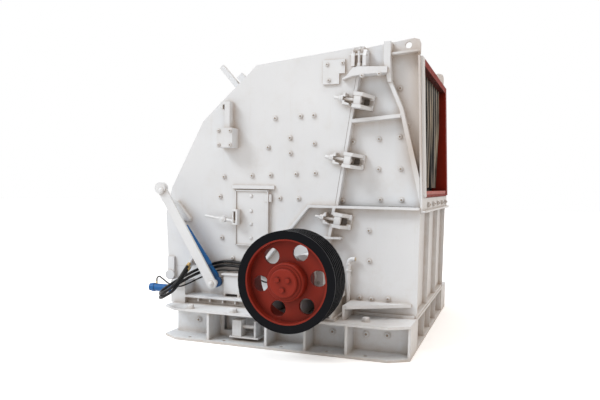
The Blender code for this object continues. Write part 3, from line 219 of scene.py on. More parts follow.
def painted_steel(name, colour, chip, dust, gloss=0.38, dusty=1.0, shine=0.5, feed_dust=0.0, corner_shade=None):
    """Sprayed paint on welded plate: slow drift of tone, dust low down and in patches, edges worn by rubbing,
    orange peel, and painted shade that darkens corners. The colour of that painted shade is given last, else
    a darker dust;
    feed_dust is how much stone dust lies on the feed end."""
    f = Finish(name)
    place = f.split(f.place)
    drift = f.spread(f.noise(1.3, 3.0), 0.3, 0.7)
    tone = f.mix(drift, shade(colour, 0.93), shade(colour))
    low_down = f.spread(place["Z"], 0.75, 0.0, 0.0, 0.55 * dusty)
    patch = f.spread(f.noise(3.5, 8.0, 0.62), 0.5, 0.72, 0.0, 0.45 * dusty)
    grime = f.math("MULTIPLY", f.math("ADD", low_down, patch), f.spread(f.noise(19, 7.0, 0.7), 0.3, 0.75))
    tone = f.mix(grime, tone, shade(dust))
    runs = f.spread(f.noise(4.0, 6.0, 0.6, (6.0, 6.0, 0.5)), 0.58, 0.8, 0.0, 0.22 * dusty)
    tone = f.mix(runs, tone, shade(dust))
    # Painted shade: corners that hide much of the half space around them are darkened towards the corner
    # colour, by a cloudy amount.
    cloudy = f.spread(f.noise(11, 5.0), 0.2, 0.7, 0.36, 0.74)
    corner = f.math("MULTIPLY", f.crevices(0.10, 0.3, 0.93), cloudy)
    tone = f.mix(corner, tone, shade(corner_shade or (dust[0] * 0.82, dust[1] * 0.7, dust[2] * 0.58)))
    if feed_dust:
        forward = f.spread(place["X"], 1.16, 1.34)
        upward = f.spread(place["Z"], 1.5, 1.95, 0.0, feed_dust)
        patchy = f.spread(f.noise(3, 4.0), 0.25, 0.75, 0.7, 1.0)
        by_mouth = f.math("MULTIPLY", forward, upward)
        tone = f.mix(f.math("MULTIPLY", by_mouth, patchy), tone, shade(STONE_DUST))
    speck = f.spread(f.noise(95, 3.0, 0.5), 0.72, 0.78, 0.0, 0.5 * dusty)
    tone = f.mix(speck, tone, shade(dust, 0.45))
    rub = f.math("MULTIPLY", f.edges(0.006), f.spread(f.noise(34, 6.0, 0.7), 0.5, 0.66, 0.0, 0.9))
    tone = f.mix(rub, tone, shade(chip))
    f.feed(f.shader.inputs["Base Color"], tone)
    uneven = f.math("ADD", grime, f.noise(7, 4.0))
    f.feed(f.shader.inputs["Roughness"], f.spread(uneven, 0.2, 1.3, gloss, gloss + 0.35))
    f.relief(((f.noise(2.2, 2.0), 0.003), (f.noise(38, 3.0), 0.0003), (f.noise(420, 2.0), 0.00008)), 0.004)
    f.shader.inputs["Specular IOR Level"].default_value = shine
    return f.made


def bare_steel(name, colour, rust, rusty, gloss):
    """Steel without paint: cloudy tone, rust in blotches and pits, scratches along one way."""
    f = Finish(name)
    cloud = f.spread(f.noise(9, 6.0, 0.65), 0.3, 0.7)
    tone = f.mix(cloud, shade(colour, 0.7), shade(colour))
    blotch = f.spread(f.noise(6, 9.0, 0.7), 0.62 - 0.3 * rusty, 0.74 - 0.2 * rusty)
    tone = f.mix(blotch, tone, f.mix(f.noise(60, 5.0), shade(rust), shade(rust, 0.45)))
    f.feed(f.shader.inputs["Base Color"], tone)
    f.feed(f.shader.inputs["Metallic"], f.spread(blotch, 0.0, 1.0, 1.0, 0.15))
    uneven = f.math("ADD", blotch, f.noise(25, 5.0))
    f.feed(f.shader.inputs["Roughness"], f.spread(uneven, 0.2, 1.6, gloss, 0.85))
    scratches = f.noise(30, 4.0, 0.6, (1.0, 1.0, 30.0))
    f.relief(((scratches, 0.0002), (f.noise(130, 6.0, 0.7), 0.0004)), 0.002)
    return f.made


def smooth_rubber(name, colour, gloss, shine, dusty=0.35, pitch=0.0):
    """Black rubber with a wrapped texture, grey dust in patches and a soft shine. Strips hung side by side
    every pitch metres along Y also have a pale painted highlight down each, on the side of the crest towards
    -Y."""
    f = Finish(name)
    dust = f.spread(f.noise(14, 7.0, 0.65), 0.5, 0.8, 0.0, dusty)
    tone = f.mix(dust, shade(colour), (0.09, 0.088, 0.085, 1))
    if pitch:
        # Painted highlight: a pale cream band down each strip, broken up along its length by stretched noise.
        from_edge = f.math("SUBTRACT", f.split(f.place)["Y"], SHIFT.y - STRIP_HALF)
        across = f.math("FRACT", f.math("DIVIDE", from_edge, pitch))
        off = f.math("ABSOLUTE", f.math("SUBTRACT", across, 0.40))
        streak_breakup = f.spread(f.noise(2.2, 5.0, 0.6, (9.0, 9.0, 0.8)), 0.38, 0.62)
        highlight_streak = f.math("MULTIPLY", f.spread(off, 0.20, 0.04), streak_breakup)
        tone = f.mix(f.math("MULTIPLY", highlight_streak, 0.75), tone, (0.50, 0.42, 0.31, 1))
    f.feed(f.shader.inputs["Base Color"], tone)
    f.feed(f.shader.inputs["Roughness"], f.spread(f.noise(40, 4.0), 0.2, 0.8, gloss, gloss + 0.2))
    f.relief(((f.noise(700, 2.0, 0.5), 0.0001), (f.noise(60, 3.0), 0.0002)))
    f.shader.inputs["Specular IOR Level"].default_value = shine
    return f.made


def white_lipped_red(name, plain):
    """The mouth lining's red: plain red paint with the near upright lip left white, upward faces low down
    made pale pink as painted light from above with some dust of the feed, and faces that look down darker as
    painted shade."""
    f = Finish(name, plain)
    paint = f.shader.inputs["Base Color"].links[0].from_socket
    place = f.split(f.place)
    facing = f.split(f.add("ShaderNodeNewGeometry").outputs["Normal"])
    near = f.math("LESS_THAN", place["Y"], SHIFT.y - HALF_WIDTH + 0.19)
    forward = f.math("GREATER_THAN", facing["X"], 0.6)
    outward = f.math("LESS_THAN", facing["Y"], -0.6)
    lip = f.math("MULTIPLY", near, f.math("MAXIMUM", forward, outward))
    # Painted light with some dust: the upward faces of the sill are made lighter.
    upward = f.math("GREATER_THAN", facing["Z"], 0.8)
    sill = f.math("MULTIPLY", upward, f.math("LESS_THAN", place["Z"], 1.6))
    paint = f.mix(f.math("MULTIPLY", sill, 0.62), paint, (0.62, 0.42, 0.38, 1))
    # Painted shade: faces that look down are darkened.
    shaded_ceiling = f.math("LESS_THAN", facing["Z"], -0.5)
    paint = f.mix(f.math("MULTIPLY", shaded_ceiling, 0.8), paint, (0.03, 0.006, 0.005, 1))
    f.feed(f.shader.inputs["Base Color"], f.mix(lip, paint, shade(WHITE)))
    f.shader.inputs["Specular IOR Level"].default_value = 0.06
    return f.made


# Finishes
WHITE = (0.77, 0.80, 0.835)
DUST = (0.50, 0.43, 0.35)
STONE_DUST = (0.47, 0.37, 0.29)
white_paint = painted_steel("white_paint", WHITE, (0.42, 0.40, 0.38), DUST, dusty=0.45, feed_dust=0.6)
red_paint = painted_steel(
    "red_paint",
    colour=(0.235, 0.019, 0.009),
    chip=(0.08, 0.02, 0.015),
    dust=(0.16, 0.05, 0.03),
    gloss=0.45,
    dusty=0.3,
    shine=0.2,
    # Colour of the painted shade in the red paint's corners.
    corner_shade=(0.035, 0.006, 0.004),
)
blue_paint = painted_steel(
    "blue_paint",
    colour=(0.004, 0.12, 0.38),
    chip=(0.10, 0.11, 0.12),
    dust=(0.12, 0.16, 0.2),
    gloss=0.3,
    dusty=0.3,
    shine=0.3,
)
black_paint = painted_steel(
    "black_paint",
    colour=(0.004, 0.0045, 0.0065),
    chip=(0.02, 0.02, 0.022),
    dust=(0.012, 0.012, 0.012),
    gloss=0.24,
    dusty=0.3,
    shine=0.07,
    # Colour of the painted shade in the black paint's corners.
    corner_shade=(0.002, 0.002, 0.002),
)
bright_steel = bare_steel("bright_steel", (0.62, 0.62, 0.63), (0.23, 0.10, 0.04), 0.15, 0.24)
worn_steel = bare_steel("worn_steel", (0.30, 0.28, 0.27), (0.19, 0.085, 0.04), 0.8, 0.45)
bolt_zinc = bare_steel("bolt_zinc", (0.55, 0.54, 0.52), (0.28, 0.15, 0.07), 0.3, 0.34)
brass = bare_steel("brass", (0.78, 0.56, 0.24), (0.25, 0.15, 0.06), 0.1, 0.25)
hose_rubber = smooth_rubber("hose_rubber", (0.005, 0.005, 0.006), 0.24, 0.3)
curtain_rubber = smooth_rubber("curtain_rubber", (0.008, 0.0065, 0.0055), 0.3, 0.05, 0.1, STRIP_PITCH)
beige_plastic = painted_steel(
    "beige_plastic",
    colour=(0.60, 0.50, 0.36),
    chip=(0.5, 0.42, 0.3),
    dust=(0.4, 0.34, 0.27),
    gloss=0.45,
    dusty=0.5,
)
# A lighter copy of the red paint for the sill bar: painted light from above, with some dust.
lit_dusty_red = painted_steel(
    "lit_dusty_red",
    colour=(0.42, 0.062, 0.04),
    chip=(0.3, 0.12, 0.1),
    dust=(0.42, 0.2, 0.15),
    gloss=0.4,
    dusty=0.4,
    shine=0.3,
)
# Near-black paint for sheets that stand in for shade in slots and openings: painted shade.
shaded_paint = painted_steel("shaded_paint", (0.075, 0.066, 0.06), (0.06, 0.055, 0.05), (0.1, 0.085, 0.07))
mouth_paint = white_lipped_red("mouth_paint", red_paint)
stud_steel = painted_steel("stud_steel", (0.36, 0.31, 0.26), (0.2, 0.16, 0.13), (0.30, 0.22, 0.15), 0.5, 1.0)

by_slot = {
    "white_paint": white_paint,
    "red_paint": red_paint,
    "blue_paint": blue_paint,
    "black_paint": black_paint,
    "bright_steel": bright_steel,
    "worn_steel": worn_steel,
    "black_rubber": curtain_rubber,
}


def dress_cad():
    """Each CAD piece takes the finish that the record names for its slot."""
    slots = {row["node"]: row["material_slot"] for row in frame["record"]["subparts"]}
    for name, piece in cad_nodes.items():
        piece.data.materials.clear()
        piece.data.materials.append(mouth_paint if name == "mouth_liner" else by_slot[slots[name]])


dress_cad()


# Meshes from arrays
def piece_from(name, verts, faces, finish, slot, body, smooth=30.0):
    """One object from arrays of points and of four-sided faces, its edges sharp past smooth degrees."""
    mesh = bpy.data.meshes.new(name)
    verts = np.ascontiguousarray(verts, dtype=np.float32)
    faces = np.ascontiguousarray(faces, dtype=np.int32)
    mesh.vertices.add(len(verts))
    mesh.vertices.foreach_set("co", verts.ravel())
    mesh.loops.add(faces.size)
    mesh.loops.foreach_set("vertex_index", faces.ravel())
    mesh.polygons.add(len(faces))
    mesh.polygons.foreach_set("loop_start", np.arange(0, faces.size, faces.shape[1], dtype=np.int32))
    mesh.polygons.foreach_set("use_smooth", np.ones(len(faces), dtype=bool))
    mesh.update(calc_edges=True)
    mesh.validate()
    mesh.set_sharp_from_angle(angle=math.radians(smooth))
    mesh.materials.append(finish)
    made = bpy.data.objects.new(name, mesh)
    bpy.context.scene.collection.objects.link(made)
    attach(made, body)
    return made


def grid_faces(rows, columns):
    """Four-sided faces of a grid of rows times columns, whose last column joins the first."""
    r = np.arange(rows - 1)[:, None]
    c = np.arange(columns)[None, :]
    d = (c + 1) % columns
    corners = (r * columns + c, r * columns + d, (r + 1) * columns + d, (r + 1) * columns + c)
    return np.stack(corners, axis=-1).reshape(-1, 4)


def repeated(verts, faces, places, frame_axes):
    """Copies of one small mesh: each place plus the mesh's own x, y and z along the three axes."""
    turned = verts @ np.asarray(frame_axes, float)
    many = places[:, None, :] + turned[None, :, :]
    steps = (np.arange(len(places)) * len(verts))[:, None, None]
    return many.reshape(-1, 3), (faces[None] + steps).reshape(-1, faces.shape[1])


def axes_for(direction):
    """Three axes whose third is the direction and whose first is level."""
    n = Vector(direction).normalized()
    level = Vector((0, 0, 1)).cross(n)
    u = level.normalized() if level.length > 1e-4 else Vector((1, 0, 0))
    return [list(u), list(n.cross(u)), list(n)]


def hex_bolt(flat, height, washer):
    """A bolt head on its washer. Round the axis by angle a the washer is a circle, and the head is
    flat / cos(a folded into 30 degrees each way), with its crown cut in to a circle. Both ends narrow to
    open rings of 1 mm radius."""
    turn = np.linspace(0, 2 * math.pi, 12, endpoint=False)
    folded = np.abs((turn + math.pi / 6) % (math.pi / 3) - math.pi / 6)
    corner = flat / np.cos(folded)
    one = np.ones_like(turn)
    thick = max(0.003, height * 0.18)
    rings = (
        (0.001 * one, 0.0),
        (washer * one, 0.0),
        (washer * one, thick),
        (corner, thick),
        (corner, height * 0.86),
        (0.93 * flat * one, height),
        (0.001 * one, height * 1.03),
    )
    radius = np.stack([r for r, _ in rings])
    level = np.array([z for _, z in rings])[:, None]
    grid = np.stack([radius * np.cos(turn), radius * np.sin(turn), level * one], axis=-1)
    return grid.reshape(-1, 3), grid_faces(len(rings), len(turn))


def bolts(
    name, points, side, direction, flat, height, body="housing", finish=None, slot="white_paint", washer=1.55
):
    """A set of like bolts at (x, out, z) points, all standing along one direction."""
    verts, faces = hex_bolt(flat, height, flat * washer)
    placed = repeated(verts, faces, world_places(points, side), axes_for(direction))
    return piece_from(name, *placed, finish or white_paint, slot, body)


def nuts(name, points, side, direction, flat, height):
    """Painted nuts on washers, and the ends of their studs, rubbed bare, as a second piece."""
    bolts(name, points, side, direction, flat, height, washer=1.5)
    verts, faces = cup_head(flat * 0.52, height * 0.42)
    reach = np.array(direction, float) * height * 1.02
    placed = repeated(verts, faces, world_places(points, side) + reach, axes_for(direction))
    piece_from(name + "_stud_ends", *placed, stud_steel, "bright_steel", "housing", 40)


def chamfered_plate(outline, low, high, cut):
    """A plate from a convex outline of (a, b) points, counterclockwise from above. Row by row from a pole
    below: the outline drawn in by cut, the wall's foot and head, drawn in again, and the upper pole. The
    poles are the outline at a ten-thousandth of its size, left open."""
    p = np.asarray(outline, float)
    middle = p.mean(axis=0)
    away = p - middle
    inset = middle + away * (1 - cut / np.linalg.norm(away, axis=1)[:, None])
    pole = middle + away * 1e-4
    rows = ((pole, low), (inset, low), (p, low + cut), (p, high - cut), (inset, high), (pole, high))
    grid = np.stack([np.concatenate([r, np.full((len(p), 1), z)], axis=1) for r, z in rows])
    return grid.reshape(-1, 3), grid_faces(len(rows), len(p))


def joined(parts):
    """Several (verts, faces) meshes as one."""
    starts = np.cumsum([0] + [len(verts) for verts, _ in parts[:-1]])
    faces = [faces + start for (_, faces), start in zip(parts, starts)]
    return np.concatenate([verts for verts, _ in parts]), np.concatenate(faces)


def box_between(low, high, cut=0.0015):
    """A bar between two corners with its upright edges cut, drawn as a plate from its middle outwards."""
    (x0, y0, z0), (x1, y1, z1) = low, high
    x = np.array([x0 + cut, x1 - cut, x1, x1, x1 - cut, x0 + cut, x0, x0])
    y = np.array([y0, y0, y0 + cut, y1 - cut, y1, y1, y1 - cut, y0 + cut])
    return chamfered_plate(np.stack([x, y], axis=1), z0, z1, cut)


def placed_on(mesh, side):
    """A mesh of (x, out, z) points in the frame. The near side turns it over, so its faces are turned too."""
    verts, faces = mesh
    return world_places(verts, side), faces[:, ::-1] if side < 0 else faces


def boxes(name, corners, side, body="housing", finish=None, slot="white_paint", cut=0.0015):
    """Bars given by their two corners as (x, out, z), merged into one piece."""
    mesh = joined([box_between(low, high, cut) for low, high in corners])
    piece_from(name, *placed_on(mesh, side), finish or white_paint, slot, body)


def cup_head(radius, height):
    """A low round bolt head with a flat rim: the radius falls as a quarter ellipse over the height. Both
    ends narrow to open rings of 1 mm radius."""
    turn = np.linspace(0, 2 * math.pi, 14, endpoint=False)
    rise = np.linspace(0, math.pi / 2, 5)
    radii = np.concatenate([[0.001], [radius], radius * 0.96 * np.cos(rise[:-1]), [0.001]])[:, None]
    levels = np.concatenate([[0.0], [0.0], height * (0.3 + 0.7 * np.sin(rise[:-1])), [height]])[:, None]
    grid = np.stack(np.broadcast_arrays(radii * np.cos(turn), radii * np.sin(turn), levels), axis=-1)
    return grid.reshape(-1, 3), grid_faces(len(radii), len(turn))


def spline_through(points, per):
    """Catmull-Rom curve through the points: cubic in t between each two, per steps each, all at once."""
    p = np.asarray(points, float)
    ends = np.concatenate([[2 * p[0] - p[1]], p, [2 * p[-1] - p[-2]]])
    p0, p1, p2, p3 = ends[:-3, None], ends[1:-2, None], ends[2:-1, None], ends[3:, None]
    t = np.linspace(0, 1, per, endpoint=False)[None, :, None]
    square, cube = 2 * p0 - 5 * p1 + 4 * p2 - p3, 3 * p1 - p0 - 3 * p2 + p3
    line = 0.5 * (2 * p1 + (p2 - p0) * t + square * t**2 + cube * t**3)
    return np.concatenate([line.reshape(-1, 3), p[-1:]])


def tube_along(path, radii, steps, reference):
    """A round skin along a path: at each point a circle square to the tangent, measured from a fixed
    reference direction. Both ends narrow to open circles of 0.1 mm radius."""
    tangent = np.gradient(path, axis=0)
    tangent /= np.linalg.norm(tangent, axis=1)[:, None]
    u = np.cross(np.asarray(reference, float)[None], tangent)
    u /= np.linalg.norm(u, axis=1)[:, None]
    v = np.cross(tangent, u)
    line = np.concatenate([path[:1], path, path[-1:]])
    u, v = (np.concatenate([a[:1], a, a[-1:]]) for a in (u, v))
    size = np.concatenate([[1e-4], np.broadcast_to(radii, len(path)), [1e-4]])[:, None, None]
    turn = np.linspace(0, 2 * math.pi, steps, endpoint=False)[None, :, None]
    grid = line[:, None] + size * (u[:, None] * np.cos(turn) + v[:, None] * np.sin(turn))
    return grid.reshape(-1, 3), grid_faces(len(line), steps)


# Hoses and their crimped ends
HOSE_RADIUS = 0.0155
HOSE_DROP = 0.042
THIN_RADIUS = 0.008
FITTING = np.array((-1.33, 0.14, 0.813))
TIP = np.array((-1.325, 0.235, 0.765))
AIM = (TIP - FITTING) / np.linalg.norm(TIP - FITTING)
START = -0.45 - GAP
THICK_ROUTE = (
    (START, 0.05, 0.70),
    (START - 0.07, 0.05, 0.70),
    (-0.66, 0.04, 0.74),
    (-0.83, 0.03, 0.775),
    (-1.0, 0.03, 0.783),
    (-1.12, 0.025, 0.757),
    (-1.205, 0.05, 0.73),
    (-1.275, 0.11, 0.698),
    (-1.355, 0.19, 0.65),
    (-1.452, 0.27, 0.582),
    (-1.525, 0.35, 0.522),
    (-1.54, 0.445, 0.482),
    (-1.49, 0.535, 0.478),
    (-1.41, 0.578, 0.513),
    (-1.335, 0.54, 0.57),
    (-1.318, 0.44, 0.645),
    tuple(TIP + AIM * 0.1),
    tuple(TIP + AIM * GAP),
)
CYLINDER_TOP = 0.455 + 0.042 + GAP
THIN_ROUTE = (
    (-1.82, 0.09, CYLINDER_TOP),
    (-1.82, 0.09, CYLINDER_TOP + 0.028),
    (-1.81, 0.097, 0.561),
    (-1.76, 0.13, 0.586),
    (-1.68, 0.18, 0.567),
    (-1.57, 0.22, 0.525),
    (-1.45, 0.228, 0.512),
    (-1.36, 0.208, 0.543),
    (-1.285, 0.143, 0.588),
    (-1.20, 0.07, 0.632),
    (-1.08, 0.033, 0.682),
    (-0.95, 0.03, 0.69),
    (-0.80, 0.03, 0.688),
    (-0.66, 0.04, 0.64),
    (-0.56, 0.05, 0.60),
    (START - 0.045, 0.05, 0.59),
    (START, 0.05, 0.59),
)


def crimp(name, path, reach, radius, from_end):
    """A crimped sleeve over the end of a hose: the radius steps up, ripples in rings and steps down."""
    along = np.concatenate([[0.0], np.cumsum(np.linalg.norm(np.diff(path, axis=0), axis=1))])
    steps = 40
    place = np.linspace(0.0015, reach, steps)
    if from_end:
        place = along[-1] - place
    line = np.stack([np.interp(place, along, path[:, k]) for k in range(3)], axis=1)
    ripple = 1.16 + 0.07 * np.cos(np.linspace(0, 10 * math.pi, steps)) * np.linspace(0.4, 1, steps)
    verts, faces = tube_along(line, radius * ripple, 18, (0.3, 0.2, 1.0))
    return piece_from(name, verts, faces, brass, "bright_steel", "housing", 40)


def hose(name, route, radius, reach, reference):
    """One hose along its route, with a crimped sleeve as long as reach over each end."""
    path = spline_through(world_places(route), 10)
    verts, faces = tube_along(path, radius, 20, reference)
    made = piece_from(name + "_skin", verts, faces, hose_rubber, "black_rubber", "housing", 60)
    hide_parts(name)
    ends = [crimp(name + "_crimp_start", path, reach, radius, False)]
    ends.append(crimp(name + "_crimp_end", path, reach, radius, True))


hose("hose_upper", THICK_ROUTE, HOSE_RADIUS, 0.055, (0, 0, 1))
hose("hose_lower", [(x, out, z - HOSE_DROP) for x, out, z in THICK_ROUTE], HOSE_RADIUS, 0.055, (0, 0, 1))
hose("hose_thin", THIN_ROUTE, THIN_RADIUS, 0.03, (0.25, 1, 0.1))

# Bolts that hold the liners and plates
REAR_LINER_BOLTS = (
    (-0.455, 2.285),
    (-0.18, 2.30),
    (-0.04, 2.305),
    (-0.29, 2.085),
    (-0.03, 2.025),
    (-0.53, 1.99),
    (-0.285, 1.93),
    (-1.035, 1.685),
    (-0.71, 1.70),
    (-0.50, 1.705),
    (-0.22, 1.72),
    (-0.015, 1.73),
    (-1.08, 1.475),
    (-0.395, 1.47),
    (-0.19, 1.47),
    (-1.06, 1.035),
    (-0.93, 0.82),
)
FRONT_LINER_BOLTS = (
    (0.127, 2.545),
    (0.607, 2.07),
    (0.813, 2.09),
    (0.347, 2.045),
    (0.61, 1.773),
    (0.83, 1.779),
    (0.253, 1.455),
    (0.635, 1.475),
    (0.847, 1.477),
    (0.803, 2.551),
    (0.89, 2.20),
    (0.975, 1.82),
)
LOWER_BOLTS = ((0.552, 1.171), (0.563, 0.869))
DOOR_BOLTS = (1.487, 1.33, 1.194, 1.046)
BAY_BOLTS = ((-1.229, 0.165), (0.257, 0.176), (0.595, 0.182), (0.802, 0.189), (-0.12, 0.18))
HOLD_DOWN = ((-1.20, 0.43), (-0.71, 0.43), (0.289, 0.292), (0.616, 0.315))
KICK_TABS = (-1.25, -1.11, -0.96, -0.815)
SHELF_BOLTS = ((0.475, 0.50), (0.594, 0.492), (0.76, 0.505))
COVER_BOLTS = ((0.096, 2.791), (0.252, 2.797), (0.114, 2.638))
SHAFT_BOX_BOLTS = ((-1.02, 2.155), (-0.89, 2.155), (-1.02, 2.01), (-0.89, 2.01))
ARCH_NUTS = ((0.458, 2.662), (0.625, 2.671))
BEARING_BOLTS = ((-0.25, 0.20), (-0.25, 0.28), (0.25, 0.20), (0.25, 0.28))
FOOT_BOLTS = ((-0.265, 0.17), (-0.265, 0.31), (0.265, 0.17), (0.265, 0.31))
SHAFT_BOX_OUT = 0.16
ARCH_OUT = 0.06
SMALL_NUT = (0.015, 0.014)
DOOR_MIDDLE = -0.709
HINGE_PROUD = 0.0087
LATCH_BEHIND_HINGE = 0.0045
DOOR_BORDER = (
    (-0.888, -0.512, 0.967, 0.977),
    (-0.888, -0.512, 1.538, 1.548),
    (-0.888, -0.878, 0.967, 1.548),
    (-0.522, -0.512, 0.967, 1.548),
)


def outer_face(node, side):
    """How far out a CAD piece's outer face stands from the side plate."""
    low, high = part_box(node)
    return side * ((high.y if side > 0 else low.y) - SHIFT.y) - HALF_WIDTH


def plate_nuts(name, places, out, side, flat=0.019, height=0.02):
    """Nuts on a side plate, at (x, z) places."""
    nuts(name, [(x, out, z) for x, z in places], side, (0, side, 0), flat, height)


def heads_on_plate(name, places, out, side, radius, body="housing", finish=None, slot="white_paint"):
    """Cup heads on a side plate, at (x, z) places."""
    verts, faces = cup_head(radius, radius * 0.62)
    points = world_places([(x, out, z) for x, z in places], side)
    placed = repeated(verts, faces, points, axes_for((0, side, 0)))
    piece_from(name, *placed, finish or white_paint, slot, body, 40)


def ring_of(radius, out, degrees):
    """Places on a circle round the rotor's axis, at angles from level."""
    return [(radius * math.cos(a), out, AXIS_HEIGHT + radius * math.sin(a)) for a in np.radians(degrees)]


def on_joint(mesh, z, side):
    """A mesh drawn about a clamp's place on the joint, as (x, out, z), leaned with the joint at height z."""
    verts, faces = mesh
    lean = math.atan(JOINT_LEAN)
    x = verts[:, 0] * math.cos(lean) + verts[:, 2] * math.sin(lean)
    up = verts[:, 2] * math.cos(lean) - verts[:, 0] * math.sin(lean)
    return placed_on((np.stack([x + joint_x(z), verts[:, 1], up + z], axis=1), faces), side)


def clamp_ends(name, z, floor, side):
    """What closes a swing bolt's fork: a crown block over its pin, an end plate in two halves, and a
    near-black sheet in the slot as painted shade.
    """
    bars = [box_between((0.045, 0.08, -0.0395), (0.112, 0.119, 0.0395), 0.004)]
    bars.append(box_between((0.19, floor + 0.001, -0.03), (0.205, floor + 0.028, 0.03), 0.002))
    for low, high in ((-0.0745, -0.022), (0.022, 0.0745)):
        bars.append(box_between((0.155, floor + 0.002, low), (0.206, floor + 0.062, high), 0.004))
    piece_from(name, *on_joint(joined(bars), z, side), white_paint, "white_paint", "housing")
    # Painted shade: a dark sheet down in the slot between the cheeks.
    slot = box_between((0.113, floor + 0.069, -0.026), (0.17, floor + 0.073, 0.026))
    piece_from(name + "_slot", *on_joint(slot, z, side), shaded_paint, "worn_steel", "housing")


def weld_lines():
    """Straight joints that carry a bead on each side of the machine, as pairs of (x, out, z) ends."""
    lines = []
    for x in RIBS:
        for edge in (x - RIB_HALF, x + RIB_HALF):
            lines.append(((edge, BASE_WEB, BASE_FOOT_TOP), (edge, BASE_WEB, BASE_UNDER_TOP)))
            lines.append(((edge, BASE_WEB, BASE_FOOT_TOP), (edge, RIB_REACH, BASE_FOOT_TOP)))
            lines.append(((edge, BASE_WEB, BASE_UNDER_TOP), (edge, RIB_REACH, BASE_UNDER_TOP)))
    lines += [
        ((-1.49, BASE_WEB, BASE_FOOT_TOP), (-0.99, BASE_WEB, BASE_FOOT_TOP)),
        ((-0.355, BASE_WEB, BASE_FOOT_TOP), (1.03, BASE_WEB, BASE_FOOT_TOP)),
        ((-1.49, BASE_WEB, BASE_UNDER_TOP), (-0.94, BASE_WEB, BASE_UNDER_TOP)),
        ((-0.40, BASE_WEB, BASE_UNDER_TOP), (1.03, BASE_WEB, BASE_UNDER_TOP)),
        ((0.40, 0.0, 0.47), (0.985, 0.0, 0.47)),
        ((0.40, 0.0, 0.44), (0.985, 0.0, 0.44)),
        ((-1.40, 0.0, 0.42), (-0.40, 0.0, 0.42)),
        ((-1.56, 0.0, 0.57), (-1.40, 0.0, 0.57)),
        ((-1.40, 0.0, 0.42), (-1.40, 0.0, 0.57)),
        ((-0.98, 0.0, 0.42), (-0.98, 0.0, 0.65)),
        ((-0.80, 0.0, 0.42), (-0.80, 0.0, 0.65)),
        ((-1.0, 0.0, 0.665), (-0.78, 0.0, 0.665)),
        ((0.30, 0.0, 1.385), (1.03, 0.0, 1.385)),
        ((joint_x(1.43) + 0.031, -RECESS, 1.43), (joint_x(2.93) + 0.031, -RECESS, 2.93)),
        ((0.70, -RECESS, 2.60), (0.817, -RECESS, 2.343)),
        ((0.817, -RECESS, 2.343), (1.008, -RECESS, 1.57)),
        ((0.345, -RECESS, 2.226), (0.825, -RECESS, 2.2645)),
        ((0.345, -RECESS, 2.261), (0.825, -RECESS, 2.2995)),
        ((0.42, -RECESS, 2.752), (0.69, -RECESS, 2.7385)),
    ]
    return lines


def bead(start, end, radius=0.0055, pitch=0.007):
    """A weld bead along a straight line: its radius swells and drops once a pitch, like scales."""
    a, b = np.asarray(start, float), np.asarray(end, float)
    length = np.linalg.norm(b - a)
    s = np.linspace(0, 1, max(8, int(length / pitch * 3)))
    scale = radius * (1.0 - 0.28 * np.mod(s * length / pitch, 1.0))
    wander = 0.0009 * np.sin(s * length * 61)[:, None] * np.array([[0.3, 0.5, 0.8]])
    reference = (0, 1, 0) if abs(b[1] - a[1]) < 0.5 * length else (1, 0, 0)
    return tube_along(a + (b - a) * s[:, None] + wander, scale, 7, reference)


def housing_fittings(label, side):
    """Nuts, bolts, bars and weld beads on one side of the housing and the base."""
    plate_nuts(f"rear_liner_bolts_{label}", REAR_LINER_BOLTS, 0, side)
    plate_nuts(f"front_liner_bolts_{label}", FRONT_LINER_BOLTS, -RECESS, side)
    plate_nuts(f"lower_liner_bolts_{label}", LOWER_BOLTS, 0, side)
    plate_nuts(f"shelf_bolts_{label}", SHELF_BOLTS, 0, side, 0.02, 0.024)
    plate_nuts(f"shaft_box_bolts_{label}", SHAFT_BOX_BOLTS, SHAFT_BOX_OUT, side, *SMALL_NUT)
    plate_nuts(f"arch_nuts_{label}", ARCH_NUTS, ARCH_OUT, side, *SMALL_NUT)
    door = f"door_{label}"
    plate = outer_face(door, side) - HINGE_PROUD
    heads_on_plate(f"door_bolts_{label}", [(DOOR_MIDDLE, z) for z in DOOR_BOLTS], plate, side, 0.02, door)
    plate_nuts(f"bay_bolts_{label}", BAY_BOLTS, BASE_WEB, side, 0.023, 0.024)
    held = [(x, out, BASE_TOP) for x, out in HOLD_DOWN]
    bolts(f"hold_down_bolts_{label}", held, side, (0, 0, 1), 0.031, 0.042, washer=1.4)
    tabs = [((x - 0.009, 0.128, 0.356), (x + 0.009, 0.185, 0.3945)) for x in KICK_TABS]
    boxes(f"kick_channel_{label}", [((-1.399, 0.118, 0.3555), (-0.402, 0.13, 0.3948)), *tabs], side)
    for place, z, floor in CLAMPS:
        clamp_ends(f"clamp_end_{label}_{place}", z, floor, side)
    beads = placed_on(joined([bead(a, b) for a, b in weld_lines()]), side)
    piece_from(f"weld_beads_{label}", *beads, white_paint, "white_paint", "housing", 50)
    cover = outer_face(f"apron_shaft_cover_{label}", side)
    plate_nuts(f"cover_bolts_{label}", COVER_BOLTS, cover, side, *SMALL_NUT)
    boxes(f"jack_bay_back_{label}", [((-0.955, 0.085, 0.02), (-0.39, 0.097, 0.31))], side)
    # Painted shade: a dark sheet on the plate just above the base's top flange, where an opening lies in
    # shade.
    slot = [((0.20, 0.0006, 0.345), (0.375, 0.004, 0.425))]
    boxes(f"opening_shade_{label}", slot, side, finish=shaded_paint, slot="worn_steel")
    corner = [((0.97, -0.097, 0.02), (1.035, -0.085, 0.31))]
    boxes(f"base_corner_plate_{label}", corner, side)


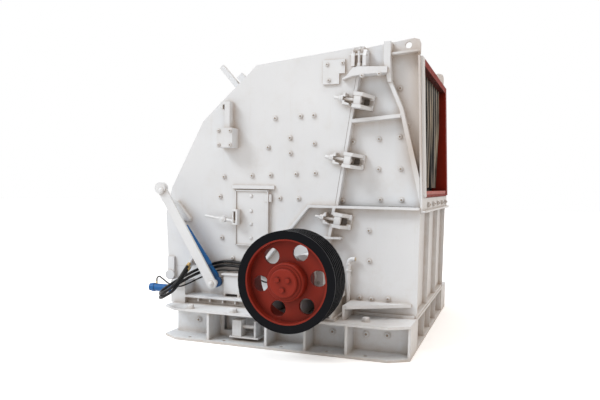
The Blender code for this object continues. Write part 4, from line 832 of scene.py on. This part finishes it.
def bearing_bolts(label, side):
    """Zinc bolts on one bearing: round its cover, on its feet and on its cap."""
    style = {"finish": bolt_zinc, "slot": "bright_steel"}
    cover = ring_of(0.165, 0.3603, np.arange(8) * 45 + 22.5)
    bolts(f"bearing_cover_bolts_{label}", cover, side, (0, side, 0), 0.011, 0.012, **style)
    feet = [(x, out, 0.6) for x, out in FOOT_BOLTS]
    bolts(f"bearing_foot_bolts_{label}", feet, side, (0, 0, 1), 0.02, 0.03, **style)
    caps = [(x, out, AXIS_HEIGHT + 0.03) for x, out in BEARING_BOLTS]
    bolts(f"bearing_cap_bolts_{label}", caps, side, (0, 0, 1), 0.015, 0.022, **style)


for label, side in SIDES:
    housing_fittings(label, side)
for label, side in SIDES:
    bearing_bolts(label, side)

# Three bolts on the hub cap, turning with the rotor
hub = ring_of(0.058, 0.92, (30, 148, 268))
bolts("hub_bolts", hub, -1, (0, -1, 0), 0.021, 0.024, "rotor", red_paint, "red_paint", 1.3)

# Bolts under the mouth and its hanging curtain
SILL_BOLT_HEIGHT = 1.43
SILL_BOLT_PITCH = 0.385
SILL_BOLTS = 5
SILL_BAR_HALF = 0.886


def mouth_sill():
    """A row of nuts on the flange under the mouth, and a bar of lighter red along the sill's front edge:
    painted light from above, with some dust.
    """
    x, z = mouth_front(SILL_BOLT_HEIGHT), SILL_BOLT_HEIGHT
    row = [(x, -0.39 - k * SILL_BOLT_PITCH, z) for k in range(SILL_BOLTS)]
    nuts("mouth_sill_bolts", row, -1, (1, 0, MOUTH_LEAN), 0.019, 0.018)
    bar = ((0.985, -HALF_WIDTH - SILL_BAR_HALF, 1.5305), (1.068, -HALF_WIDTH + SILL_BAR_HALF, 1.566))
    # The sill bar in the lighter red: painted light with some dust.
    boxes("sill_bar", [bar], -1, "housing", lit_dusty_red, "red_paint", 0.006)


mouth_sill()


def hanging_strip(k):
    """One rubber strip of the curtain. Across it, at angle a, a flat oval with nearly square corners, from a
    low power of cos a and sin a, its face bowed out by a parabola. Down it, at t from 0 to 1, it swings and
    twists a little."""
    t = np.concatenate([[0.0], np.linspace(0, 1, 44), [1.0]])[:, None]
    shrink = np.ones_like(t)
    shrink[[0, -1]] = 1e-3
    a = np.linspace(0, 2 * math.pi, 32, endpoint=False)[None]
    power = 0.3
    across = (STRIP_PITCH / 2 - STRIP_GAP / 2) * np.sign(np.cos(a)) * np.abs(np.cos(a)) ** power * shrink
    thick = 0.005 * np.sign(np.sin(a)) * np.abs(np.sin(a)) ** power * shrink
    bow = 0.035 * (1 - (across / (STRIP_PITCH / 2)) ** 2) * (0.35 + 0.65 * np.minimum(1, 2.5 * t))
    twist = math.radians(9) * math.sin(k * 2.3 + 0.6) * np.sin(0.5 * math.pi * t)
    swing = 0.012 * np.sin(math.pi * t + k * 1.9) * t + 0.022 * (t**3) * math.cos(k * 1.3)
    x = 0.936 + swing + (thick + bow) * np.cos(twist) - across * np.sin(twist)
    y = -STRIP_HALF + (k + 0.5) * STRIP_PITCH + across * np.cos(twist) + (thick + bow) * np.sin(twist)
    z = STRIP_TOP - (STRIP_TOP - STRIP_FOOT) * t + 0 * a
    grid = np.stack([x + SHIFT.x, y + SHIFT.y, z], axis=-1)
    return grid.reshape(-1, 3), grid_faces(len(t), a.size)[:, ::-1]


def hang_curtain():
    """The strips side by side, in the place of the CAD model's curtain, which is hidden."""
    for k in range(STRIPS):
        name = f"curtain_strip_{k + 1}"
        strip = piece_from(name, *hanging_strip(k), curtain_rubber, "black_rubber", "housing", 50)
    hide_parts("feed_curtain")


hang_curtain()

# Grease pipe with its elbow, collars and clip
PIPE_OUT = 0.05
ELBOW_FOOT = 0.845
ELBOW_RADIUS = 0.04
NOZZLE_HEIGHT = 0.885


def grease_pipe():
    """A round skin up the pipe and round its elbow, whose radius steps out at two collars on the way."""
    turn = np.linspace(0, math.pi / 2, 12)[1:]
    rise = np.linspace(0.372, ELBOW_FOOT, 160)
    x = np.concatenate([0.365 + 0 * rise, 0.405 - ELBOW_RADIUS * np.cos(turn), (0.412, 0.424, 0.43)])
    z = np.concatenate([rise, ELBOW_FOOT + ELBOW_RADIUS * np.sin(turn), [NOZZLE_HEIGHT] * 3])
    path = np.stack([x, np.full(len(x), PIPE_OUT), z], axis=1)
    radii = np.full(len(path), 0.0205)
    radii[np.abs(z - 0.77) < 0.0105] = 0.03
    radii[(z > 0.822) & (z < 0.842)] = 0.0255
    radii[z < 0.392] = 0.026
    radii[x > 0.405] = 0.0245
    verts, faces = tube_along(world_places(path), radii, 20, (0, 1, 0))
    made = piece_from("grease_pipe_skin", verts, faces, white_paint, "white_paint", "housing", 35)
    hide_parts("grease_pipe")
    boxes("grease_pipe_clip", [((0.345, 0.0002, 0.765), (0.385, 0.04, 0.775))], -1)
    end = [(x, PIPE_OUT, NOZZLE_HEIGHT) for x in (0.4295, 0.431, 0.4365, 0.438)]
    verts, faces = tube_along(world_places(end), np.array((0.016, 0.0185, 0.0185, 0.015)), 18, (0, 1, 0))
    piece_from("grease_pipe_plug", verts, faces, beige_plastic, "white_paint", "housing", 35)


grease_pipe()


def door_and_arm_fittings(label, side):
    """One side's door border and latch, arm pins, small bosses and the two bolts of the top clamp."""
    door = f"door_{label}"
    latch = outer_face(door, side) - LATCH_BEHIND_HINGE
    face = latch + 0.0043
    border = [((x0, face - 0.004, z0), (x1, face + 0.005, z1)) for x0, x1, z0, z1 in DOOR_BORDER]
    boxes(f"door_border_{label}", border, side, door, cut=0.001)
    boxes(f"latch_post_{label}", [((-0.889, latch, 1.186), (-0.874, latch + 0.078, 1.344))], side, door)
    recess = [((-0.876, latch, 1.204), (-0.848, latch + 0.008, 1.326))]
    boxes(f"latch_recess_{label}", recess, side, door, worn_steel, "worn_steel")
    grip = world_places([(-1.01, latch + 0.052, 1.239)], side)
    knob = repeated(*cup_head(0.03, 0.026), grip, axes_for((0, side, 0)))
    piece_from(f"latch_knob_{label}", *knob, white_paint, "white_paint", door, 45)
    heads_on_plate(f"arm_head_pin_{label}", [(-1.646, 1.535)], 0.2595, side, 0.03)
    heads_on_plate(f"arm_pivot_pin_{label}", [(-1.061, 0.57)], 0.2645, side, 0.02)
    heads_on_plate(f"plate_boss_{label}", [(-1.529, 1.202)], 0, side, 0.034)
    plug = [(-1.405, 0.997)]
    heads_on_plate(f"blue_plug_{label}", plug, 0, side, 0.016, finish=blue_paint, slot="blue_paint")
    top = [(0.367, 0.045, 2.909), (0.43, 0.045, 2.909)]
    bolts(f"top_clamp_bolt_{label}", top, side, (0, 0, 1), 0.012, 0.016)


for label, side in SIDES:
    door_and_arm_fittings(label, side)

# White floor and backdrop, light
FLOOR_HALF = 40


def floor_finish():
    """Pale matt floor, lifted to white for the eye alone, so that the object's shadow stays."""
    f = Finish("floor_white")
    seen = f.seen_directly()
    plain = f.mix(f.noise(0.8, 3.0), (0.80, 0.80, 0.80, 1), (0.82, 0.82, 0.82, 1))
    f.feed(f.shader.inputs["Base Color"], f.mix(seen, (0.80, 0.77, 0.74, 1), plain))
    f.shader.inputs["Roughness"].default_value = 0.95
    f.shader.inputs["Emission Color"].default_value = (1, 1, 1, 1)
    f.feed(f.shader.inputs["Emission Strength"], f.math("MULTIPLY", seen, 0.42))
    return f.made


def square_floor(half):
    """One flat face on the ground, as wide as half each way from the origin."""
    mesh = bpy.data.meshes.new("floor")
    corners = ((-half, -half, 0), (half, -half, 0), (half, half, 0), (-half, half, 0))
    mesh.from_pydata(corners, [], [(0, 1, 2, 3)])
    made = bpy.data.objects.new("floor", mesh)
    bpy.context.scene.collection.objects.link(made)
    made.data.materials.append(floor_finish())
    return made


floor = square_floor(FLOOR_HALF)


def sun(name, energy, turn, angle, colour=(1.0, 1.0, 1.0)):
    data = bpy.data.lights.new(name, "SUN")
    data.energy = energy
    data.angle = math.radians(angle)
    data.color = colour
    made = bpy.data.objects.new(name, data)
    made.rotation_euler = [math.radians(a) for a in turn]
    bpy.context.scene.collection.objects.link(made)


sun("key", 1.45, (48, 0, -50), 20, (0.94, 0.975, 1.0))
sun("overhead", 0.65, (8, 0, 25), 30, (1.0, 0.95, 0.9))


def studio_world(left, right, strength):
    """Soft light that turns from the left colour to the right one along X, stronger from above. The eye, a
    mirror and glass see plain white instead."""
    world = bpy.data.worlds.new("studio")
    bpy.context.scene.world = world
    t = Tree(world)
    toward = t.split(t.add("ShaderNodeTexCoord").outputs["Generated"])
    colour = t.mix(t.spread(toward["X"], -0.3, 0.8), shade(left), shade(right))
    power = t.spread(toward["Z"], -0.1, 1.0, strength * 0.8, strength * 1.45)
    light = t.add("ShaderNodeVectorMath", {0: colour, "Scale": power}, operation="SCALE").outputs["Vector"]
    backdrop = t.nodes["Background"]
    t.feed(backdrop.inputs["Color"], t.mix(t.seen_directly(), light, (1, 1, 1, 1)))
    backdrop.inputs["Strength"].default_value = 1.0


studio_world((0.97, 0.985, 1.0), (0.84, 0.66, 0.51), 0.65)
bpy.context.scene.view_settings.view_transform = "Standard"
